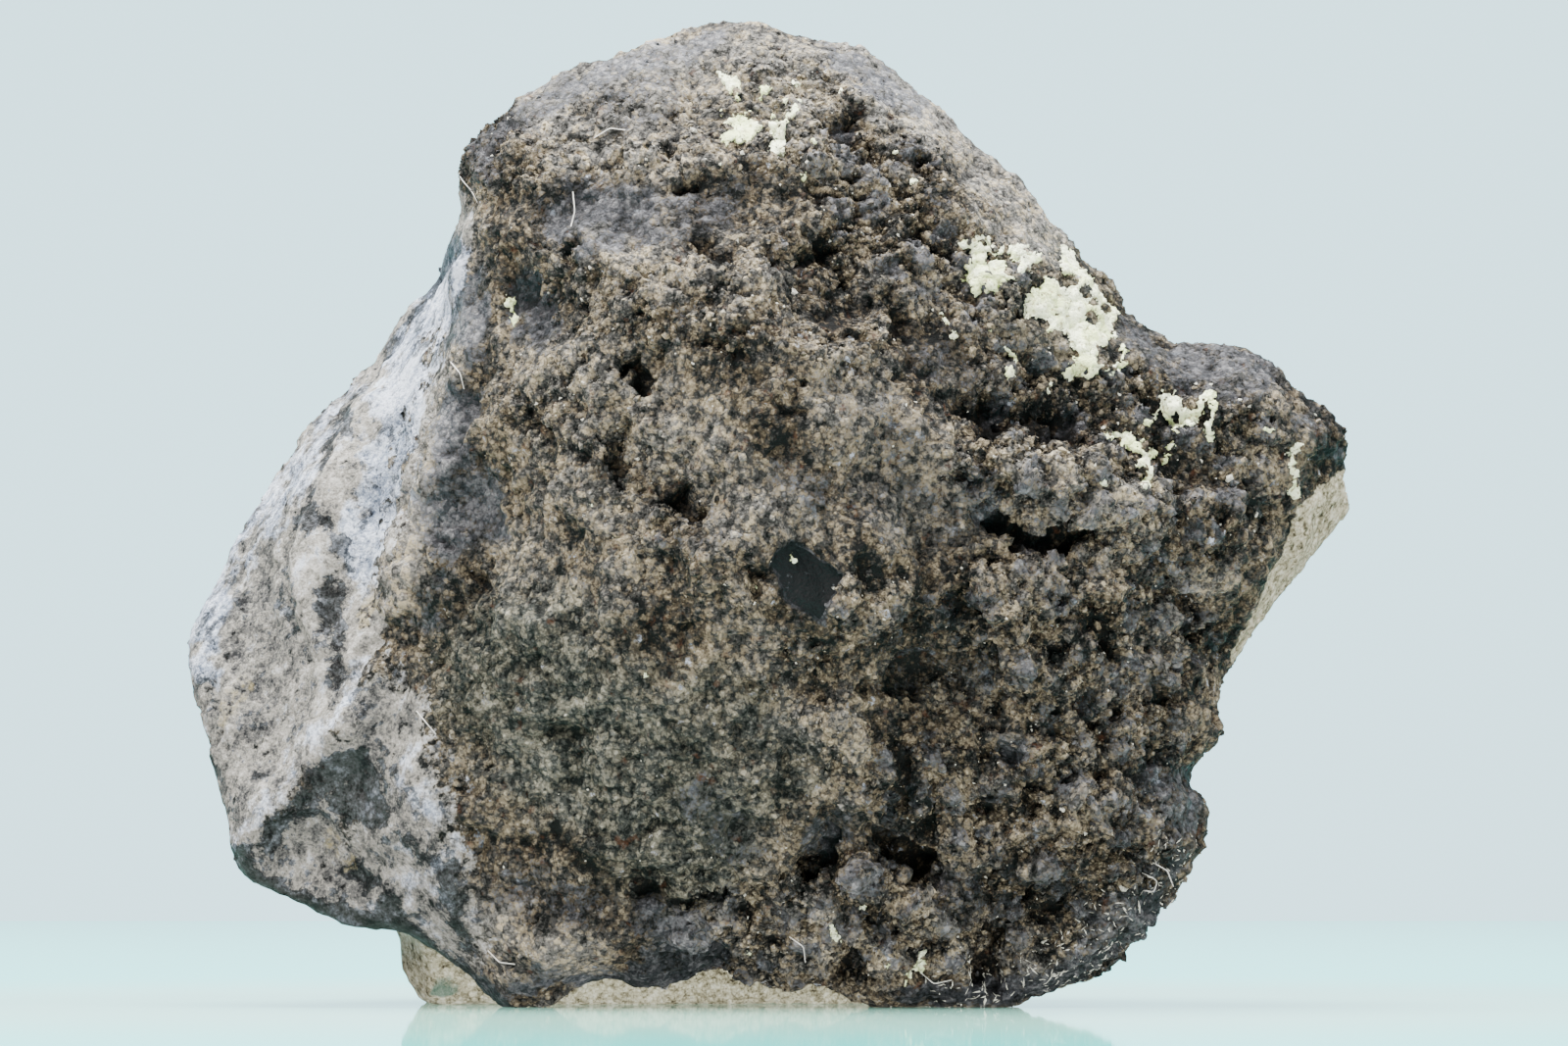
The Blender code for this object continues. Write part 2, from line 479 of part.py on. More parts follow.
def skin_points(directions, grid):
    """The outermost point of the skin along each direction from the heart."""
    far = np.full(len(directions), RAY_START)
    near = far - RAY_STEP
    searching = np.ones(len(directions), bool)
    while searching.any():
        found = stone_distance(HEART + directions[searching] * near[searching, None], grid) < 0
        index = np.flatnonzero(searching)
        searching[index[found]] = False
        still = index[~found]
        far[still] = near[still]
        near[still] -= RAY_STEP
    for _ in range(RAY_HALVINGS):
        middle = (near + far) / 2.0
        inside = stone_distance(HEART + directions * middle[:, None], grid) < 0
        near = np.where(inside, middle, near)
        far = np.where(inside, far, middle)
    return HEART + directions * far[:, None]


def roughened(points, normals):
    """The skin with its broad unevenness and finer lumps, calm on the pale flank and flat where it stands."""
    places = seen_at(points)
    off_flank = smooth_step(distance_to_path(places, FLANK_LINE), FLANK_REACH / 2, FLANK_REACH)
    off_flank = np.maximum(off_flank, smooth_step(points[:, 1], *FLANK_DEPTHS))
    calm = FLANK_CALM + (1.0 - FLANK_CALM) * off_flank
    lifted = smooth_step(points[:, 2], *FLAT_FADE)
    from_edge = beyond_outline(places, np.array(OUTLINE)[:, :2])
    from_rim = np.hypot(from_edge, points[:, 1] - outline_depth(places))
    calm = calm * (RIM_CALM + (1.0 - RIM_CALM) * smooth_step(from_rim, 0.0, RIM_REACH))
    height = np.empty(len(points))
    for i, point in enumerate(points):
        broad = noise.fractal(Vector(point) / BROAD_WAVE + SKIN_SEED, 1.0, 2.0, 2)
        lump = noise.hetero_terrain(Vector(point) / LUMP_WAVE + SKIN_SEED, 0.9, 2.1, 2, LUMP_LEVEL) - LUMP_LEVEL
        height[i] = BROAD_HEIGHT * broad + LUMP_HEIGHT * lump
    moved = points + normals * (height * calm * lifted)[:, None]
    moved[:, 2] = np.maximum(moved[:, 2], 0.0)
    return moved


def build_matrix(material):
    """The lump of burnt slate, as an object with a thinned skin, its lowest face at z = 0 and centred on it."""
    sphere = bmesh.new()
    bmesh.ops.create_icosphere(sphere, subdivisions=SPHERE_SUBDIVISIONS, radius=1.0)
    directions = np.array([vertex.co.normalized() for vertex in sphere.verts])
    points = skin_points(directions, depth_grid())
    for vertex, point in zip(sphere.verts, points):
        vertex.co = point
    sphere.normal_update()
    normals = np.array([vertex.normal for vertex in sphere.verts])
    for vertex, point in zip(sphere.verts, roughened(points, normals)):
        vertex.co = Vector(point) * MM
    mesh = bpy.data.meshes.new("dense_skin")
    sphere.to_mesh(mesh)
    share = SKIN_TRIANGLES / len(sphere.faces)
    sphere.free()

    stone = bpy.data.objects.new("burnt_slate_matrix", mesh)
    bpy.context.scene.collection.objects.link(stone)
    thin = stone.modifiers.new("thin", "DECIMATE")
    thin.ratio = share
    bpy.context.view_layer.update()
    thinned = bpy.data.meshes.new_from_object(stone.evaluated_get(bpy.context.evaluated_depsgraph_get()))
    stone.modifiers.remove(thin)
    stone.data = thinned
    thinned.materials.append(material)
    thinned.shade_flat()
    return stone


def base_centre(stone):
    """The middle of the stone's bounding box, at its base."""
    corners = np.array([vertex.co for vertex in stone.data.vertices])
    low, high = corners.min(axis=0), corners.max(axis=0)
    return Vector(((low[0] + high[0]) / 2, (low[1] + high[1]) / 2, low[2]))


def offset_copy(stone, name, offset):
    """A hidden copy of the stone with its skin moved out, to cut with."""
    copy = bpy.data.objects.new(name, stone.data)
    bpy.context.scene.collection.objects.link(copy)
    swell = copy.modifiers.new("swell", "DISPLACE")
    swell.strength = offset * MM
    swell.mid_level = 0.0
    copy.hide_render = True
    copy.display_type = "WIRE"
    return copy


def build_crust(name, rim, outer, inner, material):
    """A thin crust: a prism along the sight lines through the rim, kept between the two skins."""
    prism = bmesh.new()
    front = [prism.verts.new(Vector(on_sight_line(place, PRISM_FRONT)) * MM) for place in rim]
    back = [prism.verts.new(Vector(on_sight_line(place, PRISM_BACK)) * MM) for place in rim]
    prism.faces.new(front)
    prism.faces.new(reversed(back))
    for i in range(len(rim)):
        following = (i + 1) % len(rim)
        prism.faces.new((front[following], front[i], back[i], back[following]))
    bmesh.ops.recalc_face_normals(prism, faces=prism.faces)
    mesh = bpy.data.meshes.new(name)
    prism.to_mesh(mesh)
    prism.free()
    mesh.materials.append(material)

    crust = bpy.data.objects.new(name, mesh)
    bpy.context.scene.collection.objects.link(crust)
    for operation, cutter in (("INTERSECT", outer), ("DIFFERENCE", inner)):
        cut = crust.modifiers.new(operation.lower(), "BOOLEAN")
        cut.operation = operation
        cut.solver = "EXACT"
        cut.object = cutter
    return crust


def main():
    """Builds the stone and its crusts, and sets them on the origin."""
    clear_scene()
    slate = make_material("burnt_slate", (0.105, 0.098, 0.090), 0.82)
    mineral = make_material("pale_crust", (0.66, 0.68, 0.52), 0.70)
    stone = build_matrix(slate)
    outer = offset_copy(stone, "outer_skin", CRUST_GAP + CRUST_THICKNESS)
    inner = offset_copy(stone, "inner_skin", CRUST_GAP)
    crusts = [build_crust(name, rim, outer, inner, mineral) for name, rim in CRUSTS.items()]
    shift = -base_centre(stone)
    for piece in (stone, outer, inner, *crusts):
        piece.location = shift


main()
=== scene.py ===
"""The looks of a kladnoite specimen: a lump of burnt slate with thin pale crusts, on a pale glossy floor.

Lengths are in millimetres inside this file, and are turned into metres where a mesh is made.
Places on the rough face are (x, z) pairs: where an eye in front of the stone sees them on the
upright plane through the stone's waist, measured from the floor under the stone's middle.
"""

import logging
import math
from dataclasses import dataclass, field
from enum import Enum
from typing import Callable, Sequence

import bmesh
import bpy
import numpy as np
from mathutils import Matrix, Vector, noise
from mathutils.bvhtree import BVHTree
from mathutils.kdtree import KDTree


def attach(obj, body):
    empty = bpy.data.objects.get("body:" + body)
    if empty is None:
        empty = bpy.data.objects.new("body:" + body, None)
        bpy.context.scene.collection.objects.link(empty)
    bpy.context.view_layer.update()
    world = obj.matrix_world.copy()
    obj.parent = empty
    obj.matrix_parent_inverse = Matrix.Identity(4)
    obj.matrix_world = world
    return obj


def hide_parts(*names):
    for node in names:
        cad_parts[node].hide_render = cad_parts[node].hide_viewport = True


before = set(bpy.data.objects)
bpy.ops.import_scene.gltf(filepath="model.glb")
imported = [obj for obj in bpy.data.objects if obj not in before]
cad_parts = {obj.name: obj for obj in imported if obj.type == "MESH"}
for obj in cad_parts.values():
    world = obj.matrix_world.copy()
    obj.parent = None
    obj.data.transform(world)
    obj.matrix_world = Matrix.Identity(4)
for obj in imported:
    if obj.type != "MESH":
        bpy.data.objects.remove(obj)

logging.basicConfig(level=logging.INFO, format="%(message)s")
LOG = logging.getLogger("kladnoite")

MM = 0.001
STONE = "burnt_slate_matrix"

# Corners of the solid that are this near each other are one, in metres.
WELD = 0.00001
# The distance of a place that isn't near any rim of a crust.
FAR = 9.0
# Between which shares of its reach a patch fades out.
FADE_FROM, FADE_TO = 0.55, 1.45
# The lightness at which a ramp's four tones are reached.
TONE_STOPS = (-0.75, -0.20, 0.25, 0.90)
# How strongly soil crumbles where no patch says so.
LOOSE = 0.5

Place = tuple[float, float]
Path = Sequence[Place]
Colour = tuple[float, float, float]


def srgb(red: int, green: int, blue: int) -> Colour:
    """Turns a colour picked on a screen into the linear values that a material holds.

    Args:
        red, green, blue: the screen values, 0 to 255.

    Returns:
        The linear colour.
    """
    return tuple((value / 255.0) ** 2.2 for value in (red, green, blue))


def smooth_step(value: np.ndarray, start: float, end: float) -> np.ndarray:
    """An even curve from 0 at start to 1 at end.

    Args:
        value: what to measure.
        start: where the curve leaves 0.
        end: where it reaches 1.

    Returns:
        The curve's height at each value.
    """
    share = np.clip((value - start) / (end - start), 0.0, 1.0)
    return share * share * (3.0 - 2.0 * share)


def path_distance(places: np.ndarray, path: Path) -> np.ndarray:
    """How far each place is from a path of straight stretches, or from its one point.

    Args:
        places: one (x, z) row for each place.
        path: the path's points.

    Returns:
        The distance of each place.
    """
    points = np.asarray(path, float)
    if len(points) == 1:
        return np.linalg.norm(places - points[0], axis=1)
    nearest = np.full(len(places), np.inf)
    for start, end in zip(points[:-1], points[1:]):
        run = end - start
        share = np.clip(((places - start) @ run) / (run @ run), 0.0, 1.0)
        gap = np.linalg.norm(places - (start + share[:, None] * run), axis=1)
        nearest = np.minimum(nearest, gap)
    return nearest


def beyond_rim(places: np.ndarray, rim: Path) -> np.ndarray:
    """Signed distance from a closed rim: negative inside it.

    Args:
        places: one (x, z) row for each place.
        rim: the rim's corners in order.

    Returns:
        The distance of each place.
    """
    corners = np.asarray(rim, float)
    inside = np.zeros(len(places), bool)
    x, z = places[:, 0], places[:, 1]
    for (x0, z0), (x1, z1) in zip(corners, np.roll(corners, -1, axis=0)):
        if z0 == z1:
            continue
        crosses = (z0 > z) != (z1 > z)
        inside ^= crosses & (x < x0 + (z - z0) * (x1 - x0) / (z1 - z0))
    gap = path_distance(places, [*rim, rim[0]])
    return np.where(inside, -gap, gap)


@dataclass(frozen=True)
class Sight:
    """The eye that places on the stone are seen from, and the plane that they are measured on."""

    eye: tuple[float, float, float] = (0.933, -337.239, 8.0)
    middle: tuple[float, float] = (0.333, -7.239)

    def places(self, points: np.ndarray) -> np.ndarray:
        """Where the eye sees each point.

        Args:
            points: one (x, y, z) row for each point, in millimetres.

        Returns:
            One (x, z) row for each point.
        """
        eye = np.array(self.eye)
        shrink = (self.middle[1] - eye[1]) / (points[:, 1] - eye[1])
        seen = eye[[0, 2]] + (points[:, [0, 2]] - eye[[0, 2]]) * shrink[:, None]
        return seen - np.array([self.middle[0], 0.0])

    def ray(self, place: Place) -> tuple[Vector, Vector]:
        """The line of sight through a place.

        Args:
            place: the (x, z) place.

        Returns:
            The eye's position and the direction of sight, in millimetres.
        """
        target = Vector((place[0] + self.middle[0], self.middle[1], place[1]))
        eye = Vector(self.eye)
        return eye, (target - eye).normalized()


SIGHT = Sight()


class Zone(Enum):
    """The kinds of surface that the stone shows, some of them partly painted light and shade. Each is a
    mesh attribute of this name.
    """

    FLANK = "flank"
    BARE_AND_SHADE = "bare_and_shade"
    DUST_AND_TOP_LIGHT = "dust_and_top_light"
    BLUE_AND_HIGHLIGHT = "blue_and_highlight"
    BUFF = "buff"
    PALE = "pale"
    GREEN = "green"
    HEIGHT_AND_SHADE = "height"


@dataclass(frozen=True)
class Surface:
    """The stone's points as they are seen.

    Attributes:
        places: the (x, z) place of each point.
        wander: how far an uneven outline strays at each point.
    """

    places: np.ndarray
    wander: np.ndarray

    def strayed(self, share: float) -> np.ndarray:
        """The places moved by a share of the wander.

        Args:
            share: the share.

        Returns:
            The moved places.
        """
        return self.places + share * self.wander


@dataclass(frozen=True)
class Patch:
    """A stretch of the stone along the places where it is seen.

    Attributes:
        along: the places.
        reach: how far it spreads to each side.
        amount: how strong it is there; for relief, how far it stands out.
        stray: how uneven its outline is.
    """

    along: tuple[Place, ...]
    reach: float
    amount: float = 1.0
    stray: float = 1.0

    def spread(self, surface: Surface) -> np.ndarray:
        """The patch's strength at each point.

        Args:
            surface: the points.

        Returns:
            The strength, fading to 0 past the reach.
        """
        gap = path_distance(surface.strayed(self.stray), self.along)
        return self.amount * (1.0 - smooth_step(gap, FADE_FROM * self.reach, FADE_TO * self.reach))


@dataclass(frozen=True)
class Area:
    """A part of the stone inside a rim.

    Attributes:
        rim: the rim.
        amount: how strong it is there.
        stray: how uneven its outline is.
        soft: how wide its edge is.
    """

    rim: Path
    amount: float = 1.0
    stray: float = 0.3
    soft: float = 0.2

    def spread(self, surface: Surface) -> np.ndarray:
        """The area's strength at each point.

        Args:
            surface: the points.

        Returns:
            The strength, fading to 0 outside the rim.
        """
        gap = beyond_rim(surface.strayed(self.stray), self.rim)
        return self.amount * (1.0 - smooth_step(gap, -self.soft, self.soft))


def strongest(surface: Surface, patches: Sequence[Patch | Area], floor: float = 0.0) -> np.ndarray:
    """The strongest patch at each point.

    Args:
        surface: the points.
        patches: the patches.
        floor: the value where there is no patch.

    Returns:
        The strength at each point.
    """
    found = np.full(len(surface.places), floor)
    for patch in patches:
        found = np.maximum(found, patch.spread(surface))
    return found


# The pale flank, left of the crest and above the corner's edge.
FLANK_RIM: Path = (
    (-15.9, 42.2), (-15.4, 40.4), (-15.6, 38.0), (-16.0, 35.0), (-17.0, 30.6), (-17.8, 27.4), (-18.2, 25.0),
    (-19.2, 22.3), (-19.8, 19.6), (-20.6, 17.8), (-22.7, 14.0), (-25.1, 10.4), (-28.4, 7.6), (-40.0, 7.6),
    (-40.0, 42.2),
)

# The mottled corner below the flank.
CORNER_RIM: Path = (
    (-20.6, 18.0), (-22.7, 14.0), (-25.1, 10.4), (-28.4, 7.6), (-28.0, 4.0), (-19.0, 2.0), (-15.2, 0.0),
    (-15.0, 5.0), (-16.6, 9.0), (-17.2, 13.0), (-18.4, 16.4),
)

# The cut face under the spur.
CUT_RIM: Path = (
    (29.4, 27.6), (27.3, 25.9), (26.1, 23.0), (24.7, 20.2), (23.6, 17.8), (26.0, 17.0), (34.0, 25.0),
    (33.0, 28.0),
)

# The smooth black break in the middle of the rough face.
BREAK_RIM: Path = (
    (1.2, 24.1), (2.7, 22.9), (3.65, 22.2), (3.2, 21.3), (2.85, 20.6), (2.6, 19.5), (2.0, 20.1),
    (1.1, 20.45), (0.5, 21.1), (0.45, 22.1), (-0.05, 22.7), (0.3, 23.4), (0.8, 23.7),
)

BARE_AND_SHADE_PATCHES = (
    # the upper slope
    Patch(((-10.5, 40.8), (-7.0, 41.0)), 1.6), Patch(((-5.0, 40.6), (-2.5, 41.2)), 1.4, 0.7),
    Patch(((-12.6, 37.0), (-12.2, 35.4)), 1.1), Patch(((-8.0, 46.4), (-5.5, 47.2)), 1.5, 0.6),
    Patch(((3.2, 49.0), (7.2, 46.8)), 0.8, 0.8), Patch(((-15.3, 44.2), (-14.8, 42.8)), 0.8, 0.7),
    Patch(((-15.4, 44.4), (-12.2, 46.6), (-8.0, 48.4), (-3.0, 49.8)), 0.8, 0.8),
    # down the crest
    Patch(((-15.2, 37.4), (-15.6, 33.6)), 0.7), Patch(((-15.9, 31.4), (-16.4, 28.6)), 1.0),
    Patch(((-16.6, 26.4), (-16.8, 24.0)), 1.3), Patch(((-15.2, 26.8), (-14.4, 24.4)), 0.9),
    Patch(((-17.4, 21.8), (-17.6, 19.8)), 0.9, 0.7),
    # the main face
    Patch(((4.2, 31.6), (6.6, 28.8)), 2.0, 0.35), Patch(((5.2, 26.4), (8.6, 24.8)), 1.7, 0.5),
    Patch(((10.2, 26.8), (10.8, 25.2)), 1.1, 0.7), Patch(((0.6, 27.4), (2.0, 26.4)), 1.1, 0.5),
    Patch(((8.6, 33.4), (11.0, 32.4)), 1.3, 0.55), Patch(((-4.0, 24.0), (-2.6, 24.6)), 0.8, 0.5),
    # the spur
    Patch(((21.6, 33.4), (25.0, 32.4)), 1.3, 0.9), Patch(((18.4, 34.8), (19.6, 33.8)), 0.8, 0.8),
    Patch(((27.6, 30.4), (28.8, 28.8)), 0.9, 0.6),
    # below the middle
    # the first patch here is painted shade, darkening the hollow at about (8, 17)
    Patch(((6.4, 17.4), (9.6, 16.4)), 1.4, 0.45), Patch(((14.0, 21.4), (15.0, 20.6)), 0.8, 0.6),
    Patch(((20.6, 11.2), (21.4, 9.8)), 1.2, 0.8), Patch(((13.6, 7.6), (14.2, 6.6)), 1.0, 0.8),
    Patch(((19.0, 12.0), (18.0, 9.6)), 0.9, 0.6), Patch(((4.0, 9.4), (2.6, 8.6)), 0.8, 0.8),
    Patch(((-6.0, 4.4), (-4.2, 3.8)), 1.3, 0.9), Patch(((9.0, 4.8), (10.4, 6.0)), 0.9, 0.7),
    Patch(((-3.6, 10.6), (-2.0, 8.6)), 1.3, 0.6), Patch(((-13.4, 6.0), (-10.0, 5.0)), 1.4, 0.6),
    # the front's lower edge
    Patch(((-19.2, 3.8), (-17.2, 2.3), (-14.2, 0.3)), 0.7, 1.25, 0.4),
    Patch(((-9.6, 1.4), (-7.6, 1.0), (-5.6, 1.2), (-2.6, 2.8)), 0.6, 1.2, 0.4),
    Patch(((-6.6, 1.8), (-4.0, 2.8)), 0.8, 1.0), Patch(((-12.6, 0.8), (-11.2, 1.4)), 0.7, 1.0),
    Patch(((6.8, 0.5), (11.2, 0.7)), 0.5, 1.0, 0.4),
    Patch(((10.6, 0.6), (14.4, 1.2), (17.2, 2.8), (19.4, 5.0)), 0.8, 1.1, 0.5),
    Patch(((16.0, 3.2), (18.4, 5.6)), 0.9, 0.8), Patch(((19.8, 5.4), (21.2, 8.0)), 0.4, 0.8, 0.4),
    Patch(((19.8, 12.8), (21.6, 12.0)), 0.7, 0.8),
    # the corner
    Area((
        (-22.9, 12.6), (-22.1, 13.2), (-21.1, 13.3), (-20.5, 12.3), (-20.2, 11.4), (-19.5, 9.7),
        (-20.0, 9.1), (-20.5, 9.0), (-21.7, 9.4), (-22.6, 10.3), (-23.4, 10.7), (-24.9, 10.0),
        (-25.1, 10.3), (-24.2, 11.2),
    ), 1.1),
    Patch(((-25.4, 9.6), (-26.0, 8.0)), 0.5, 0.8, 0.5), Patch(((-24.6, 9.8), (-23.2, 9.6)), 0.5, 0.6),
    Patch(((-27.7, 8.4), (-27.0, 6.9), (-24.6, 5.4), (-21.4, 4.3), (-19.7, 3.9)), 0.5, 1.25, 0.5),
    Patch(((-21.6, 7.0), (-19.8, 6.2)), 0.5, 0.8), Patch(((-19.8, 5.4), (-19.0, 4.6)), 0.5, 0.9),
    Patch(((-20.2, 13.0), (-19.6, 11.6)), 0.5, 0.6), Patch(((-19.4, 8.6), (-17.4, 7.8)), 0.7, 0.55),
    Patch(((-16.6, 7.0), (-16.0, 3.6)), 0.55, 0.9, 0.6), Patch(((-18.0, 9.6), (-17.6, 12.0)), 0.5, 0.4),
    # the flank
    Patch(((-21.9, 30.4), (-21.7, 29.3)), 0.45, 0.8, 0.5), Patch(((-21.2, 30.9), (-20.4, 31.2)), 0.4, 0.6),
    Patch(((-19.6, 29.4), (-18.8, 28.2)), 0.55, 0.5), Patch(((-21.4, 27.4), (-19.4, 26.4)), 1.0, 0.3),
    Patch(((-23.9, 26.0), (-23.5, 24.6)), 0.4, 0.7), Patch(((-22.5, 24.0), (-21.9, 22.8)), 0.5, 0.8),
    Patch(((-17.4, 37.2), (-22.3, 30.0), (-24.4, 25.2), (-24.8, 21.5)), 0.3, 0.5, 0.5),
    Patch(((-22.5, 21.2), (-22.2, 17.4)), 0.6, 0.85, 1.0), Patch(((-24.9, 22.4), (-24.7, 19.8)), 0.5, 0.4),
    Patch(((-29.5, 20.2), (-29.2, 18.4)), 0.5, 0.45), Patch(((-27.4, 19.7),), 0.35, 0.7),
    Patch(((-23.4, 30.2), (-22.4, 28.6)), 0.6, 0.3), Patch(((-29.4, 16.4), (-28.9, 15.4)), 0.5, 0.5),
    Patch(((-28.4, 12.2),), 0.4, 0.7), Patch(((-27.8, 10.1),), 0.35, 0.7),
    # the first patch here is a thin dark line, painted shade in a crack
    Patch(((-26.7, 11.9), (-26.4, 11.0)), 0.25, 0.7), Patch(((-16.6, 39.6), (-16.9, 37.8)), 0.6, 0.8, 0.5),
    Patch(((-18.0, 35.2), (-17.8, 33.4)), 0.5, 0.4),
)

DUST_AND_TOP_LIGHT_PATCHES = (
    # the pale band of the right shoulder, and the crown: dust, made stronger as painted light from above
    Patch(((4.0, 49.0), (7.6, 46.4), (10.4, 44.2), (12.8, 41.8), (14.0, 39.8)), 1.7, 1.4),
    Patch(((-12.0, 46.6), (-6.0, 49.2), (-1.0, 49.8), (3.0, 49.2)), 1.4, 1.3),
    Patch(((-10.0, 45.6), (2.0, 48.0)), 3.0, 0.8),
    # down the crest and the middle of the rough face
    Patch(((-15.4, 41.4), (-15.6, 36.0), (-17.2, 29.6), (-18.4, 24.6), (-19.4, 20.8)), 0.8, 0.85),
    Patch(((-11.0, 33.0), (-9.0, 27.0)), 3.2, 0.65), Patch(((-6.0, 31.0), (-1.0, 25.6)), 3.0, 0.6),
    Patch(((-9.6, 38.0), (-3.0, 37.4)), 2.4, 0.5), Patch(((-12.4, 22.4), (-7.0, 21.4)), 2.2, 0.45),
    Patch(((0.0, 35.0), (3.0, 36.0)), 2.4, 0.4), Patch(((-2.0, 20.6), (-0.4, 18.6)), 1.6, 0.45),
    Patch(((1.0, 15.6), (3.0, 13.6), (3.4, 11.4)), 1.5, 0.6),
    Patch(((14.0, 27.2), (18.0, 24.0)), 2.4, 0.45),
    Patch(((-15.0, 4.6), (-13.6, 2.2), (-10.0, 2.4)), 1.6, 1.1),
    Patch(((-3.0, 5.0), (2.0, 3.6)), 1.6, 0.45), Patch(((7.6, 3.0), (12.0, 3.0)), 1.6, 0.3),
    Patch(((-9.0, 14.0), (-3.0, 10.0)), 5.0, 0.2), Patch(((4.0, 31.0), (7.6, 26.0)), 2.6, 0.6),
    Patch(((20.0, 18.6), (22.4, 21.4)), 1.6, 0.5),
)

GREEN_PATCHES = (
    Patch(((-12.6, 17.0), (-9.0, 13.0), (-5.0, 10.0)), 4.6, 0.8),
    Patch(((-3.0, 15.0), (0.0, 12.0)), 2.6, 0.6), Patch(((-18.6, 8.6), (-17.0, 4.0)), 1.6, 0.6),
    Patch(((-25.6, 9.4), (-24.4, 8.8)), 0.7, 0.6), Patch(((16.0, 36.0),), 4.0, 0.25),
    Patch(((-17.4, 1.2), (-16.6, 0.9)), 0.6, 1.0, 0.8),
)

# The blue-white bands of the flank: partly the stone's own tone, partly painted highlight.
BLUE_AND_HIGHLIGHT_PATCHES = (
    Patch(((-16.4, 38.0), (-18.4, 33.4), (-19.6, 29.0), (-20.0, 25.4), (-21.0, 22.6)), 1.2, 1.0),
    Patch(((-17.0, 36.8), (-17.0, 34.0)), 0.7, 0.9),
    Patch(((-29.4, 17.0), (-29.0, 22.0), (-26.6, 27.4)), 0.9, 0.7),
    Patch(((-26.0, 24.8), (-24.0, 28.6), (-22.0, 31.4)), 0.8, 0.5),
    Patch(((-20.9, 17.6), (-23.0, 14.2), (-25.5, 10.6), (-28.0, 8.4)), 0.5, 0.35, 0.4),
    Patch(((-18.6, 12.8), (-17.4, 9.4), (-17.6, 5.6)), 0.9, 0.3),
)

# Where soil clings to the flank beside the crest.
STIPPLE_PATCHES = (
    Patch(((-15.9, 41.0), (-16.1, 38.0)), 0.4, 0.6),
    Patch(((-16.7, 34.6), (-18.2, 29.6), (-18.9, 26.0)), 0.7, 1.0),
    Patch(((-19.2, 25.0), (-19.8, 22.4), (-20.2, 20.6)), 0.8, 1.0),
    Patch(((-22.0, 9.6), (-21.4, 8.4)), 0.6, 0.6), Patch(((-29.0, 16.0), (-28.2, 13.4)), 0.6, 0.6),
)

# Yellowish spots.
BUFF_PATCHES = (
    Patch(((-20.6, 20.3),), 0.5, 0.8), Patch(((-20.9, 21.6), (-20.4, 22.0)), 0.4, 0.5),
    Patch(((-22.8, 8.4), (-21.6, 7.4)), 0.6, 0.5), Patch(((-28.0, 14.8), (-27.4, 16.4)), 0.7, 0.5),
)

# How grainy the skin is: 1 is crumbling soil and clinker, 0 is smooth stone.
GRAIN_PATCHES = (
    Patch(((-14.0, 44.0), (-8.0, 45.4), (-2.0, 44.6)), 2.6, 0.75),
    Patch(((1.0, 46.6), (6.0, 43.0)), 3.2, 0.95), Patch(((5.0, 40.0), (11.0, 37.4)), 3.4, 0.9),
    Patch(((-10.0, 36.6), (-3.0, 36.0)), 3.0, 0.75), Patch(((-11.0, 31.0), (-6.0, 26.0)), 3.4, 0.8),
    Patch(((0.0, 38.0), (4.0, 34.0)), 2.8, 0.7),
    Patch(((12.0, 32.0), (18.0, 31.0), (24.0, 29.4)), 2.4, 0.95),
    Patch(((12.0, 27.6), (19.0, 25.0)), 3.4, 1.0), Patch(((12.0, 20.6), (20.0, 19.6)), 3.8, 1.0),
    Patch(((11.0, 15.4), (19.0, 14.0)), 3.2, 0.9), Patch(((8.0, 11.0), (18.0, 9.0)), 3.6, 0.95),
    Patch(((-2.0, 4.0), (8.0, 5.0), (18.0, 4.4)), 3.4, 1.0), Patch(((-6.0, 24.0), (-1.0, 21.0)), 2.6, 0.55),
    Patch(((4.6, 20.6), (7.0, 20.0)), 2.2, 0.8), Patch(((1.0, 17.6), (4.0, 12.6)), 2.2, 0.7),
    Patch(((20.6, 21.0), (23.6, 26.0)), 2.4, 0.85),
)

